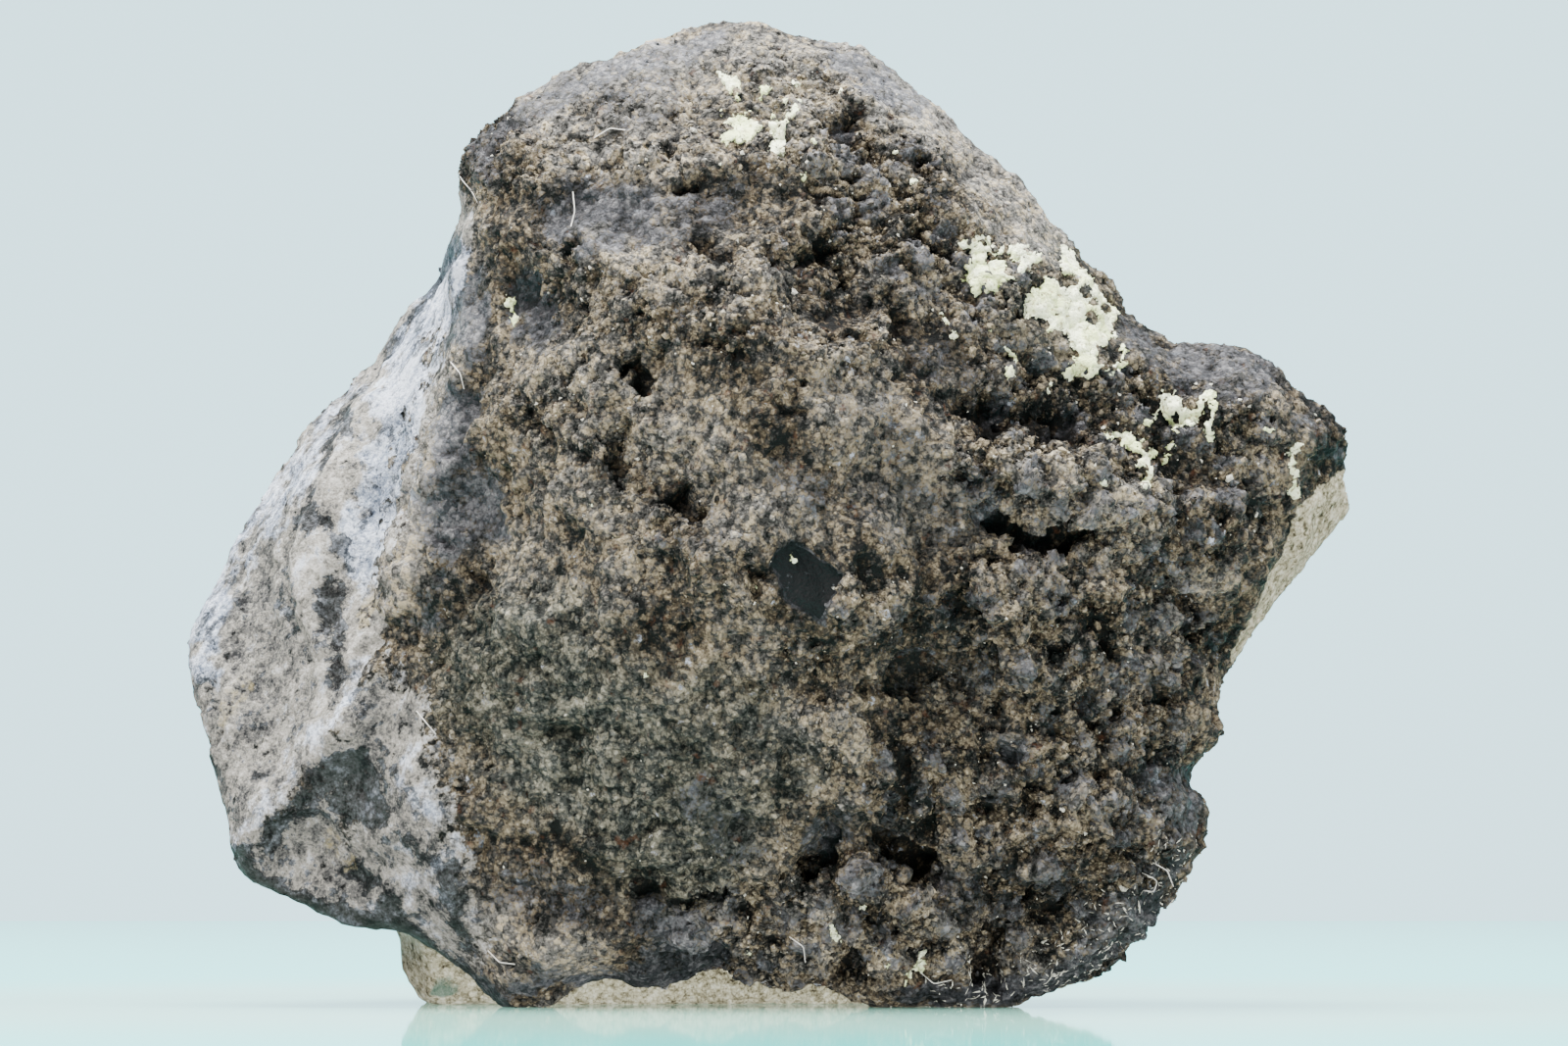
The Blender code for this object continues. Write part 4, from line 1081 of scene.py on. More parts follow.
@dataclass
class Skin:
    """The stone's fine skin, grown from its CAD solid.

    Attributes:
        finish: the material.
        voxel: the size of the cells that it is rebuilt from.
        triangles: how many it is thinned to.
        wander: how far the outlines of patches stray, in millimetres.
        swellings: how often the solid is swollen so that easing it doesn't shrink it.
        full_height: the relief that counts as a height of 1 for the material, which paints light on raised
            relief and shade in hollows from it.
        lump, clod, grain: how tall lumps, clods and grains of soil are.
        swell, pit: how far the ground rises and falls, and how deep its pits are.
        chunk: how far chunks of clinker stand out.
        break_depth: how deep the smooth black break lies.
        fields: the value of each zone at each vertex of the finished skin.
    """

    finish: SlateFinish = field(default_factory=SlateFinish)
    voxel: float = 0.235
    triangles: int = 192_000
    wander: float = 0.85
    swellings: int = 2
    full_height: float = 0.45
    lump: float = 0.55
    clod: float = 0.46
    grain: float = 0.34
    swell: float = 0.55
    pit: float = 0.55
    chunk: float = 0.24
    break_depth: float = 0.40
    fields: dict[Zone, np.ndarray] = field(default_factory=dict)

    def build(self) -> bpy.types.Object:
        """Makes the skin.

        Returns:
            The object that stands for the stone.
        """
        dense = self._rebuilt()
        points, normals = mesh_points(dense), mesh_normals(dense)
        wander = swayed(points, 1.7, (41.0, 47.0)) + 0.5 * swayed(points, 0.7, (53.0, 59.0))
        surface = Surface(SIGHT.places(points), self.wander * wander)
        front = smooth_step(-normals[:, 1], -0.35, 0.15)
        values = self._zones(points, normals, surface, front)
        height = self._relief(points, surface, front, values)
        moved = above_floor(points + normals * height[:, None])
        # The relief height is kept for the material, which paints light on raised parts and shade in
        # hollows from it.
        values[Zone.HEIGHT_AND_SHADE] = np.clip(height / self.full_height, -1.5, 1.0)
        move_points(dense, moved)
        mesh = self._thinned(dense)
        move_points(mesh, above_floor(mesh_points(mesh)))
        tree = KDTree(len(moved))
        for index, point in enumerate(moved):
            tree.insert(point, index)
        tree.balance()
        nearest = np.array([tree.find(point)[1] for point in mesh_points(mesh)])
        for zone, value in values.items():
            self.fields[zone] = value[nearest]
            store(mesh, zone.value, self.fields[zone])
        stone = add_piece("slate_skin", mesh, self.finish.material())
        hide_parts(STONE)
        return stone

    def _rebuilt(self) -> bpy.types.Mesh:
        """The CAD solid with its facets eased and its skin cut into even cells."""
        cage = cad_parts[STONE].data.copy()
        welded = bmesh.new()
        welded.from_mesh(cage)
        bmesh.ops.remove_doubles(welded, verts=welded.verts, dist=WELD)
        welded.to_mesh(cage)
        welded.free()
        source = add_object("source", cage)
        ease = source.modifiers.new("ease", "SUBSURF")
        ease.levels = 1
        corners = mesh_points(cage)
        for _ in range(self.swellings):
            sunk = corners - mesh_points(evaluated_mesh(source))[: len(corners)]
            move_points(cage, mesh_points(cage) + sunk)
            cage.update()
        cells = source.modifiers.new("cells", "REMESH")
        cells.mode = "VOXEL"
        cells.voxel_size = self.voxel * MM
        mesh = evaluated_mesh(source)
        bpy.data.objects.remove(source)
        return mesh

    def _thinned(self, dense: bpy.types.Mesh) -> bpy.types.Mesh:
        """The dense mesh thinned to the wanted number of triangles."""
        holder = add_object("holder", dense)
        thin = holder.modifiers.new("thin", "DECIMATE")
        thin.ratio = min(1.0, self.triangles / (2.0 * len(dense.polygons)))
        mesh = evaluated_mesh(holder)
        bpy.data.objects.remove(holder)
        return mesh

    @staticmethod
    def _zones(
        points: np.ndarray, normals: np.ndarray, surface: Surface, front: np.ndarray
    ) -> dict[Zone, np.ndarray]:
        """What kind of surface each point has."""
        flank = Area(FLANK_RIM, stray=0.1, soft=0.3).spread(surface)
        corner = Area(CORNER_RIM, stray=1.0, soft=1.8).spread(surface)
        cut = Area(CUT_RIM, stray=0.1).spread(surface)
        edge = Patch(CORNER_RIM[:4], 0.6, stray=0.1).spread(surface)
        edge *= beyond_rim(surface.places, FLANK_RIM) < 0.0
        side = np.maximum(flank, corner) - 0.5 * strongest(surface, STIPPLE_PATCHES)
        bare_and_shade = np.maximum(strongest(surface, BARE_AND_SHADE_PATCHES), 0.06 * corner) * (1.0 - 0.95 * edge)
        broad = sampled(points, 7.0, 2.7, cloud)
        back = 1.0 - front
        # The undersides at the back and the rear foot take the pale cut tones: partly the pale broken
        # stone, partly painted light from the glass floor below.
        below = smooth_step(-normals[:, 2], 0.35, 0.75) * smooth_step(4.0 - points[:, 2], -1.0, 2.0)
        behind = smooth_step(points[:, 1], -4.0, 0.0)
        pale = np.maximum(cut * front, below * behind)
        foot = smooth_step(points[:, 1], -4.8, -3.6) * smooth_step(4.4 - points[:, 2], -0.4, 0.4)
        return {
            Zone.FLANK: np.maximum(side * front, back * (0.45 + 0.5 * broad)),
            Zone.BARE_AND_SHADE: bare_and_shade * front + back * 0.15,
            Zone.DUST_AND_TOP_LIGHT: strongest(surface, DUST_AND_TOP_LIGHT_PATCHES) * front + back * 0.3,
            Zone.BLUE_AND_HIGHLIGHT: strongest(surface, BLUE_AND_HIGHLIGHT_PATCHES) * front + back * 0.3,
            Zone.PALE: np.maximum(pale, foot),
            Zone.BUFF: strongest(surface, BUFF_PATCHES) * front,
            Zone.GREEN: strongest(surface, GREEN_PATCHES) * np.maximum(front, foot),
        }

    def _relief(
        self, points: np.ndarray, surface: Surface, front: np.ndarray, values: dict[Zone, np.ndarray]
    ) -> np.ndarray:
        """How far the skin stands out from the eased solid at each point."""
        bent = points + 0.5 * swayed(points, 1.4, (11.0, 17.0, 23.0))
        lumps, clods, grains = (
            sampled(bent, size, seed, rounded_cell) - 0.45
            for size, seed in ((2.3, 5.1), (1.15, 9.3), (0.62, 13.7))
        )
        soft = sampled(points, 3.4, 1.9, cloud)
        pits = smooth_step(sampled(points, 1.5, 31.0, cloud), 0.22, 0.46)
        grainy = strongest(surface, GRAIN_PATCHES, LOOSE) * front + LOOSE * (1.0 - front)
        calm = np.maximum(values[Zone.FLANK], 0.85 * values[Zone.PALE])
        grainy = grainy * (1.0 - 0.88 * calm) * (1.0 - 0.45 * values[Zone.BARE_AND_SHADE])
        grainy *= 1.0 - 0.4 * np.clip(values[Zone.DUST_AND_TOP_LIGHT], 0.0, 1.0)
        soil = self.lump * lumps + self.clod * clods + self.grain * grains
        height = grainy * (soil + self.swell * soft - self.pit * pits)
        height += 0.10 * soft * calm + 0.05 * grains
        chunks = smooth_step(sampled(bent, 1.9, 27.0, rounded_cell), 0.42, 0.72)
        chunks *= smooth_step(grainy, 0.5, 0.85) * front
        height += self.chunk * chunks
        values[Zone.BARE_AND_SHADE] = np.maximum(values[Zone.BARE_AND_SHADE], 0.75 * chunks)
        for patch in RELIEF_PATCHES:
            height += patch.spread(surface) * front
        inside = Area(BREAK_RIM, stray=0.08, soft=0.12).spread(surface) * front
        values[Zone.BARE_AND_SHADE] = np.maximum(values[Zone.BARE_AND_SHADE], 1.6 * inside)
        return height * (1.0 - inside) - self.break_depth * inside


def dot(x: float, z: float, radius: float) -> Path:
    """The rim of a small round fleck.

    Args:
        x, z: its middle.
        radius: its radius.

    Returns:
        The rim.
    """
    turns = np.linspace(0.0, 2.0 * math.pi, 8, endpoint=False)
    uneven = 1.0 + 0.25 * np.sin(3.0 * turns + 7.0 * x + z)
    spokes = zip(turns, radius * uneven)
    return tuple((x + spoke * math.cos(turn), z + spoke * math.sin(turn)) for turn, spoke in spokes)


@dataclass(frozen=True)
class Crust:
    """A pale crust, seen inside its rims and open where its holes are.

    Attributes:
        node: the CAD node that it stands for, or the name of flecks that have none.
        rims: the rims of its pieces as they are seen.
        holes: gaps in it: x, z and radius.
    """

    node: str
    rims: tuple[Path, ...]
    holes: tuple[tuple[float, float, float], ...] = ()

    def gap(self, places: np.ndarray) -> np.ndarray:
        """How far each place is from the crust.

        Args:
            places: one (x, z) row for each place.

        Returns:
            The distance, negative inside a rim.
        """
        return self.pierced(places, np.min([beyond_rim(places, rim) for rim in self.rims], axis=0))

    def pierced(self, places: np.ndarray, gap: np.ndarray) -> np.ndarray:
        """The distance from the crust once its holes are open.

        Args:
            places: one (x, z) row for each place.
            gap: how far each is from the crust without holes.

        Returns:
            The distance, negative inside a rim and outside the holes.
        """
        for x, z, radius in self.holes:
            gap = np.maximum(gap, radius - np.hypot(places[:, 0] - x, places[:, 1] - z))
        return gap


CRUSTS = (
    Crust("crust_top_flake", ((
        (-2.74, 48.15), (-2.3, 48.1), (-2.1, 47.95), (-1.85, 48.0), (-1.65, 47.85), (-1.6, 47.6),
        (-1.65, 47.2), (-1.75, 47.0), (-1.9, 47.25), (-2.05, 47.2), (-2.13, 47.05), (-2.25, 47.25),
        (-2.55, 47.65),
    ), dot(-1.78, 46.88, 0.12))),
    Crust("crust_crest_patch", ((
        (-2.5, 45.8), (-2.1, 45.93), (-1.7, 46.0), (-1.45, 46.15), (-1.2, 46.12), (-1.27, 45.8),
        (-1.0, 45.6), (-0.95, 45.48), (-0.6, 45.5), (-0.45, 45.35), (-0.7, 45.15), (-0.75, 44.95),
        (-0.95, 44.7), (-1.27, 44.5), (-1.65, 44.45), (-2.0, 44.48), (-2.23, 44.32), (-2.36, 44.4),
        (-2.62, 44.48), (-2.75, 44.75), (-2.55, 45.0), (-2.23, 45.15), (-2.3, 45.4), (-2.5, 45.6),
    ), dot(-2.55, 45.97, 0.13))),
    Crust("crust_crest_sliver", ((
        (-0.27, 45.54), (0.0, 45.6), (0.2, 45.77), (0.47, 45.67), (0.83, 45.67), (0.8, 45.4), (0.73, 45.0),
        (0.7, 44.64), (0.73, 44.25), (0.66, 44.0), (0.44, 43.71), (0.2, 43.87), (-0.08, 44.13),
        (-0.04, 44.38), (0.05, 44.64), (0.0, 44.9), (-0.14, 45.22),
    ), (
        (0.76, 46.05), (0.92, 46.3), (1.18, 46.47), (1.37, 46.7), (1.5, 46.76), (1.31, 46.44),
        (1.31, 46.12), (1.24, 45.86), (1.0, 45.73), (0.83, 45.86),
    ), dot(0.03, 45.86, 0.13)), ((0.35, 45.33, 0.06),)),
    Crust("crust_shoulder_left", ((
        (9.67, 39.3), (9.96, 39.6), (10.25, 39.47), (10.6, 39.72), (10.92, 39.66), (11.24, 39.47),
        (11.41, 39.2), (11.31, 38.9), (10.89, 38.15), (11.5, 38.47), (11.82, 38.4), (12.08, 38.15),
        (12.05, 37.86), (12.53, 37.44), (11.89, 37.34), (11.57, 36.83), (10.92, 36.7), (10.41, 36.57),
        (9.96, 37.22), (9.7, 37.4), (10.02, 37.8), (9.89, 38.12), (10.25, 38.5), (10.22, 39.08),
        (9.89, 39.1),
    ), (
        (12.08, 39.5), (12.27, 39.56), (12.4, 39.34), (12.66, 39.3), (12.92, 39.18), (13.24, 39.15),
        (13.37, 38.86), (13.75, 38.86), (14.0, 38.57), (13.95, 38.3), (13.62, 38.2), (13.3, 38.08),
        (13.11, 37.86), (12.88, 37.67), (12.66, 37.8), (12.63, 38.12), (12.92, 38.3), (12.6, 38.5),
        (12.37, 38.37), (12.27, 38.57), (12.53, 38.7), (12.15, 38.82), (12.18, 39.08),
    ), ((11.6, 38.82), (11.7, 39.02), (11.89, 39.24), (12.02, 39.18), (11.95, 39.02), (11.76, 38.86)),
        dot(11.45, 38.62, 0.11),
    ), ((10.95, 39.3, 0.14), (11.0, 37.0, 0.08))),
    Crust("crust_shoulder_right", ((
        (14.81, 39.47), (15.17, 39.2), (15.62, 38.73), (15.81, 38.3), (16.16, 37.86), (16.49, 37.47),
        (16.78, 37.1), (17.06, 36.64), (17.35, 36.22), (18.0, 35.67), (17.74, 35.45), (17.5, 35.2),
        (17.5, 34.73), (17.79, 34.49), (17.41, 34.2), (17.2, 34.06), (16.68, 33.96), (16.92, 33.77),
        (16.88, 33.5), (16.92, 33.19), (17.07, 33.0), (16.78, 32.75), (16.59, 32.51), (16.3, 32.32),
        (15.96, 32.32), (15.86, 32.51), (15.53, 32.51), (15.33, 32.32), (15.0, 32.51), (15.09, 32.75),
        (15.33, 32.95), (15.48, 33.19), (15.53, 33.43), (15.81, 33.57), (15.62, 33.77), (15.43, 34.01),
        (15.33, 34.39), (15.04, 34.68), (14.66, 34.83), (14.17, 34.73), (13.69, 34.55), (13.8, 34.75),
        (14.37, 35.05), (14.2, 35.4), (13.75, 35.45), (13.17, 35.48), (12.76, 35.96), (13.05, 36.25),
        (13.11, 36.7), (13.43, 36.96), (13.75, 36.89), (14.01, 37.22), (14.07, 37.54), (14.46, 37.6),
        (14.78, 37.22), (15.23, 36.93), (15.36, 37.28), (15.75, 37.22), (15.94, 37.47), (15.49, 37.6),
        (14.97, 37.67), (14.81, 37.92), (14.91, 38.3), (14.94, 38.7), (15.0, 39.02),
    ), (
        (17.84, 33.96), (18.27, 34.06), (18.44, 33.86), (18.32, 33.57), (18.03, 33.38), (18.23, 33.14),
        (18.03, 32.85), (17.84, 32.95), (17.89, 33.33), (18.03, 33.57),
    ), ((17.2, 32.8), (17.55, 33.1), (17.94, 32.9), (17.89, 32.61), (17.55, 32.56))), (
        (16.13, 36.83, 0.3), (16.45, 35.54, 0.3), (16.58, 36.25, 0.1), (17.2, 35.93, 0.14),
        (14.65, 35.6, 0.08), (14.0, 35.1, 0.12), (16.15, 32.75, 0.07),
    )),
    Crust("crust_shoulder_drip", ((
        (11.9, 34.0), (12.3, 33.8), (12.7, 33.3), (12.5, 33.2), (12.1, 33.6),
    ), ((12.0, 32.9), (12.5, 32.8), (12.7, 32.4), (12.2, 32.2), (11.9, 32.5)), (
        (14.1, 31.85), (14.3, 32.1), (14.5, 32.15), (14.4, 31.9), (14.25, 31.65),
    ))),
    Crust("crust_spur_arch", ((
        (19.95, 30.76), (20.02, 31.34), (20.08, 31.66), (20.4, 31.56), (20.73, 31.56), (20.98, 31.4),
        (21.14, 31.24), (21.11, 30.89), (20.85, 30.69), (21.24, 30.82), (21.63, 30.79), (21.88, 30.89),
        (21.82, 31.14), (22.08, 31.4), (22.27, 31.66), (22.59, 31.69), (22.85, 31.56), (23.01, 31.27),
        (23.01, 30.89), (22.88, 30.63), (22.85, 30.24), (22.69, 29.86), (22.72, 29.54), (22.85, 29.21),
        (22.66, 29.05), (22.4, 29.15), (22.33, 29.54), (22.37, 29.92), (22.53, 30.24), (22.56, 30.69),
        (22.53, 31.14), (22.33, 31.24), (22.21, 31.08), (22.24, 30.69), (22.21, 30.44), (21.95, 30.15),
        (21.69, 30.11), (21.76, 29.79), (21.43, 29.79), (21.05, 29.86), (20.85, 30.24), (20.6, 30.44),
        (20.34, 30.5), (20.08, 30.56),
    ), (
        (20.15, 30.44), (20.47, 30.5), (20.73, 30.24), (20.85, 29.86), (20.98, 29.54), (20.85, 29.37),
        (20.6, 29.6), (20.4, 30.0), (20.2, 30.18),
    ), (
        (19.7, 30.31), (19.73, 30.63), (19.89, 30.76), (19.95, 30.5), (19.89, 30.11),
    ), dot(19.31, 30.18, 0.2))),
    Crust("crust_spur_drip", ((
        (17.16, 29.28), (17.25, 29.54), (17.51, 29.63), (17.9, 29.6), (18.28, 29.6), (18.48, 29.4),
        (18.86, 29.28), (19.12, 29.2), (19.09, 28.96), (19.18, 28.63), (19.5, 28.7), (19.83, 28.63),
        (19.92, 28.44), (19.76, 28.22), (19.5, 28.12), (19.63, 27.86), (19.63, 27.48), (19.57, 27.16),
        (19.54, 26.9), (19.31, 26.71), (19.5, 26.5), (19.44, 26.38), (19.18, 26.6), (18.86, 26.83),
        (18.93, 27.1), (19.18, 27.22), (19.31, 27.48), (19.12, 27.8), (18.93, 27.67), (18.67, 27.67),
        (18.6, 27.93), (18.8, 28.12), (18.93, 28.38), (18.6, 28.63), (18.22, 28.7), (18.03, 28.89),
        (17.96, 29.15), (17.58, 29.15), (17.32, 29.12),
    ), (
        (19.89, 28.83), (20.34, 28.89), (20.66, 29.02), (20.73, 29.15), (20.82, 28.96), (20.73, 28.76),
        (20.53, 28.7), (20.47, 28.38), (20.21, 27.93), (20.02, 27.7), (19.95, 27.8), (20.15, 28.18),
        (20.34, 28.5), (20.34, 28.76),
    ))),
    Crust("crust_rim_streak", ((
        (26.81, 28.81), (26.89, 29.06), (27.15, 29.14), (27.35, 29.06), (27.48, 28.77), (27.4, 28.62),
        (27.19, 28.68), (27.06, 28.51), (26.98, 28.26), (26.94, 27.93), (26.89, 27.72), (27.06, 27.59),
        (27.17, 27.3), (27.08, 26.97), (27.19, 26.8), (27.27, 26.59), (27.19, 26.42), (27.02, 26.26),
        (26.89, 26.17), (26.77, 26.3), (26.56, 26.38), (26.31, 26.42), (26.43, 26.59), (26.69, 26.72),
        (26.85, 26.84), (26.77, 26.97), (26.73, 27.26), (26.71, 27.59), (26.62, 27.76), (26.56, 28.0),
        (26.64, 28.26), (26.64, 28.51), (26.77, 28.68),
    ), ((25.2, 29.73), (25.4, 29.8), (25.68, 29.85), (25.93, 29.66), (25.72, 29.6), (25.43, 29.56)))),
)

FLECKS = Crust("flecks", (
    (
        (-13.9, 36.4), (-13.6, 36.6), (-13.3, 36.4), (-13.2, 35.9), (-13.1, 35.4), (-13.3, 35.0),
        (-13.6, 35.2), (-13.5, 35.8),
    ),
    ((8.7, 35.95), (8.85, 35.5), (9.3, 34.95), (9.45, 34.7), (9.2, 34.85), (8.75, 35.4)),
    ((1.4, 42.7), (1.5, 43.0), (1.75, 43.1), (1.9, 42.9), (1.9, 42.6), (1.7, 42.45)),
    (
        (7.56, 3.0), (7.76, 2.8), (7.63, 2.5), (7.82, 2.2), (7.76, 1.9), (7.3, 1.8), (7.0, 1.55),
        (6.92, 1.75), (7.25, 2.05),
    ),
    ((3.0, 4.3), (3.3, 3.95), (3.55, 3.6), (3.5, 3.3), (3.2, 3.3), (3.0, 3.6)), dot(-0.43, 47.28, 0.24),
    dot(-0.56, 46.83, 0.12), dot(1.24, 47.63, 0.2), dot(2.24, 47.86, 0.14), dot(3.62, 47.28, 0.12),
    dot(0.66, 46.67, 0.2), dot(2.14, 44.61, 0.14), dot(3.69, 42.39, 0.1), dot(-2.68, 43.48, 0.1),
    dot(7.3, 42.6, 0.2), dot(6.3, 44.0, 0.12), dot(17.12, 26.87, 0.2), dot(4.7, 5.0, 0.17),
    dot(5.8, 2.1, 0.14), dot(6.8, 1.2, 0.12), dot(-1.2, 2.8, 0.22), dot(1.2, 22.97, 0.28),
    dot(-0.9, 21.6, 0.16), dot(-6.5, 17.0, 0.15), dot(-9.3, 25.8, 0.12), dot(13.9, 29.0, 0.14),
    dot(11.2, 34.8, 0.12), dot(9.4, 34.5, 0.16),
))


@dataclass
class CrustBuilder:
    """Makes the pale crusts as thin lacy sheets on the fine skin.

    Attributes:
        skin: the finished stone.
        finish: the material.
        cell: the size of a sheet's cells.
        lift: how far a sheet stands off the skin.
        lace: how far its rim wanders.
    """

    skin: bpy.types.Object
    finish: CrustFinish = field(default_factory=CrustFinish)
    cell: float = 0.07
    lift: float = 0.15
    lace: float = 0.20

    def build(self) -> None:
        """Makes every crust."""
        tree = BVHTree.FromObject(self.skin, bpy.context.evaluated_depsgraph_get())
        material = self.finish.material()
        for crust in CRUSTS:
            mesh = self._sheet(crust, tree)
            piece = add_piece(crust.node.replace("crust", "pale"), mesh, material)
            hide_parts(crust.node)
        add_piece("pale_flecks", self._sheet(FLECKS, tree), material)

    def _sheet(self, crust: Crust, tree: BVHTree) -> bpy.types.Mesh:
        """One crust: a sheet over the cells that lie inside its rim, turned down at its edge."""
        rims = np.concatenate([np.array(rim) for rim in crust.rims])
        margin = 3.0 * self.cell
        low = rims.min(axis=0) - margin
        count = np.ceil((rims.max(axis=0) + margin - low) / self.cell).astype(int) + 1
        columns = low[0] + self.cell * np.arange(count[0])
        rows = low[1] + self.cell * np.arange(count[1])
        places = np.stack([grid.ravel() for grid in np.meshgrid(columns, rows)], axis=1)
        gap = np.full(len(places), FAR)
        for rim in crust.rims:
            span = np.array(rim)
            near = (places > span.min(axis=0) - margin).all(axis=1)
            near &= (places < span.max(axis=0) + margin).all(axis=1)
            gap[near] = np.minimum(gap[near], beyond_rim(places[near], rim))
        gap = crust.pierced(places, gap)
        near = np.flatnonzero(gap < margin)
        flat = np.column_stack([places[near, 0], np.zeros(len(near)), places[near, 1]])
        gap[near] += self.lace * (sampled(flat, 0.45, 3.3, cloud) + 0.8 * sampled(flat, 0.2, 8.8, cloud))
        depth = np.full(len(places), np.nan)
        normals = np.zeros((len(places), 3))
        for index in np.flatnonzero(gap < 2.0 * self.cell):
            eye, way = SIGHT.ray(places[index])
            spot, normal, _, _ = tree.ray_cast(eye * MM, way)
            if spot is not None:
                depth[index] = spot.y / MM
                normals[index] = normal
        return self._meshed(crust, places, gap, depth, normals, tuple(count[::-1]))

    def _meshed(
        self, crust: Crust, places: np.ndarray, gap: np.ndarray, depth: np.ndarray, normals: np.ndarray,
        shape: tuple[int, int],
    ) -> bpy.types.Mesh:
        """Joins a sheet's cells into a mesh."""
        grid = depth.reshape(shape)
        for _ in range(2):
            around = np.stack([grid, *(np.roll(grid, step, axis) for step in (-1, 1) for axis in (0, 1))])
            grid = np.where(np.isnan(grid), np.nan, np.nanmean(around, axis=0))
        smooth = grid.ravel()
        rise = self.lift * smooth_step(-gap, -0.02, 0.16) - 0.10 * smooth_step(gap, -0.04, 0.06)
        known = ~np.isnan(smooth) & (gap < self.cell)
        number = np.cumsum(known) - 1
        flat = np.column_stack([places[:, 0], smooth, places[:, 1]])[known]
        bumps = sampled(flat, 0.6, 4.4, cloud) + 0.7 * sampled(flat, 0.25, 6.6, cloud)
        points = []
        rows = zip(places[known], smooth[known], rise[known], normals[known], bumps)
        for place, y, out, normal, bump in rows:
            eye, way = SIGHT.ray(place)
            base = eye + way * ((y - eye.y) / way.y)
            points.append((base + Vector(normal) * (out + 0.05 * bump)) * MM)
        faces = []
        kept, numbers = known.reshape(shape), number.reshape(shape)
        for row in range(shape[0] - 1):
            for column in range(shape[1] - 1):
                if kept[row : row + 2, column : column + 2].all():
                    faces.append((
                        int(numbers[row, column]), int(numbers[row, column + 1]),
                        int(numbers[row + 1, column + 1]), int(numbers[row + 1, column]),
                    ))
        mesh = bpy.data.meshes.new(crust.node)
        mesh.from_pydata(points, [], faces)
        return mesh


OCTAHEDRON_POINTS = ((1, 0, 0), (0, 1, 0), (0, 0, 1), (-1, 0, 0), (0, -1, 0), (0, 0, -1))
OCTAHEDRON_FACES = ((0, 1, 2), (1, 3, 2), (3, 4, 2), (4, 0, 2), (1, 0, 5), (3, 1, 5), (4, 3, 5), (0, 4, 5))

# The smooth dark edge at the lower right, with pale hairs and specks caught on it.
LOWER_EDGE = (Patch(((9.6, 0.8), (14.0, 1.8), (17.6, 4.2), (20.4, 7.6)), 1.6),)


@dataclass(frozen=True)
class GrainSet:
    """A scatter of loose crumbs of one size.

    Attributes:
        name: the piece's name.
        count: how many crumbs.
        sizes: the smallest and largest radius.
        low, high: between which heights of the stone they lie.
        seed: the scatter's seed.
        round: whether a crumb has twenty facets, or eight.
        pale: the share of crumbs that are nearly white.
        length: how long a crumb is, compared with its width.
        where: where they lie thickest.
        least: how thick they lie elsewhere.
    """

    name: str
    count: int
    sizes: tuple[float, float]
    low: float
    high: float
    seed: int
    round: bool = False
    pale: float = 0.012
    length: float = 1.0
    where: tuple[Patch, ...] = GRAIN_PATCHES
    least: float = 0.28

    def shape(self) -> tuple[np.ndarray, np.ndarray]:
        """A crumb of radius 1.

        Returns:
            Its points and its triangles.
        """
        if not self.round:
            return np.array(OCTAHEDRON_POINTS, float), np.array(OCTAHEDRON_FACES)
        ball = bmesh.new()
        bmesh.ops.create_icosphere(ball, subdivisions=1, radius=1.0)
        points = np.array([vertex.co for vertex in ball.verts])
        faces = np.array([[vertex.index for vertex in face.verts] for face in ball.faces])
        ball.free()
        return points, faces


GRAIN_SETS = (
    GrainSet("crumbs_coarse", 8400, (0.10, 0.27), -1.0, 60.0, 11, round=True, pale=0.002),
    GrainSet("crumbs_upper", 22000, (0.055, 0.14), 27.0, 60.0, 23),
    GrainSet("crumbs_lower", 22000, (0.055, 0.14), -1.0, 27.0, 37),
    GrainSet(
        "pale_hairs", 420, (0.03, 0.06), -1.0, 12.0, 43, pale=1.0, length=6.0, where=LOWER_EDGE, least=0.0
    ),
)


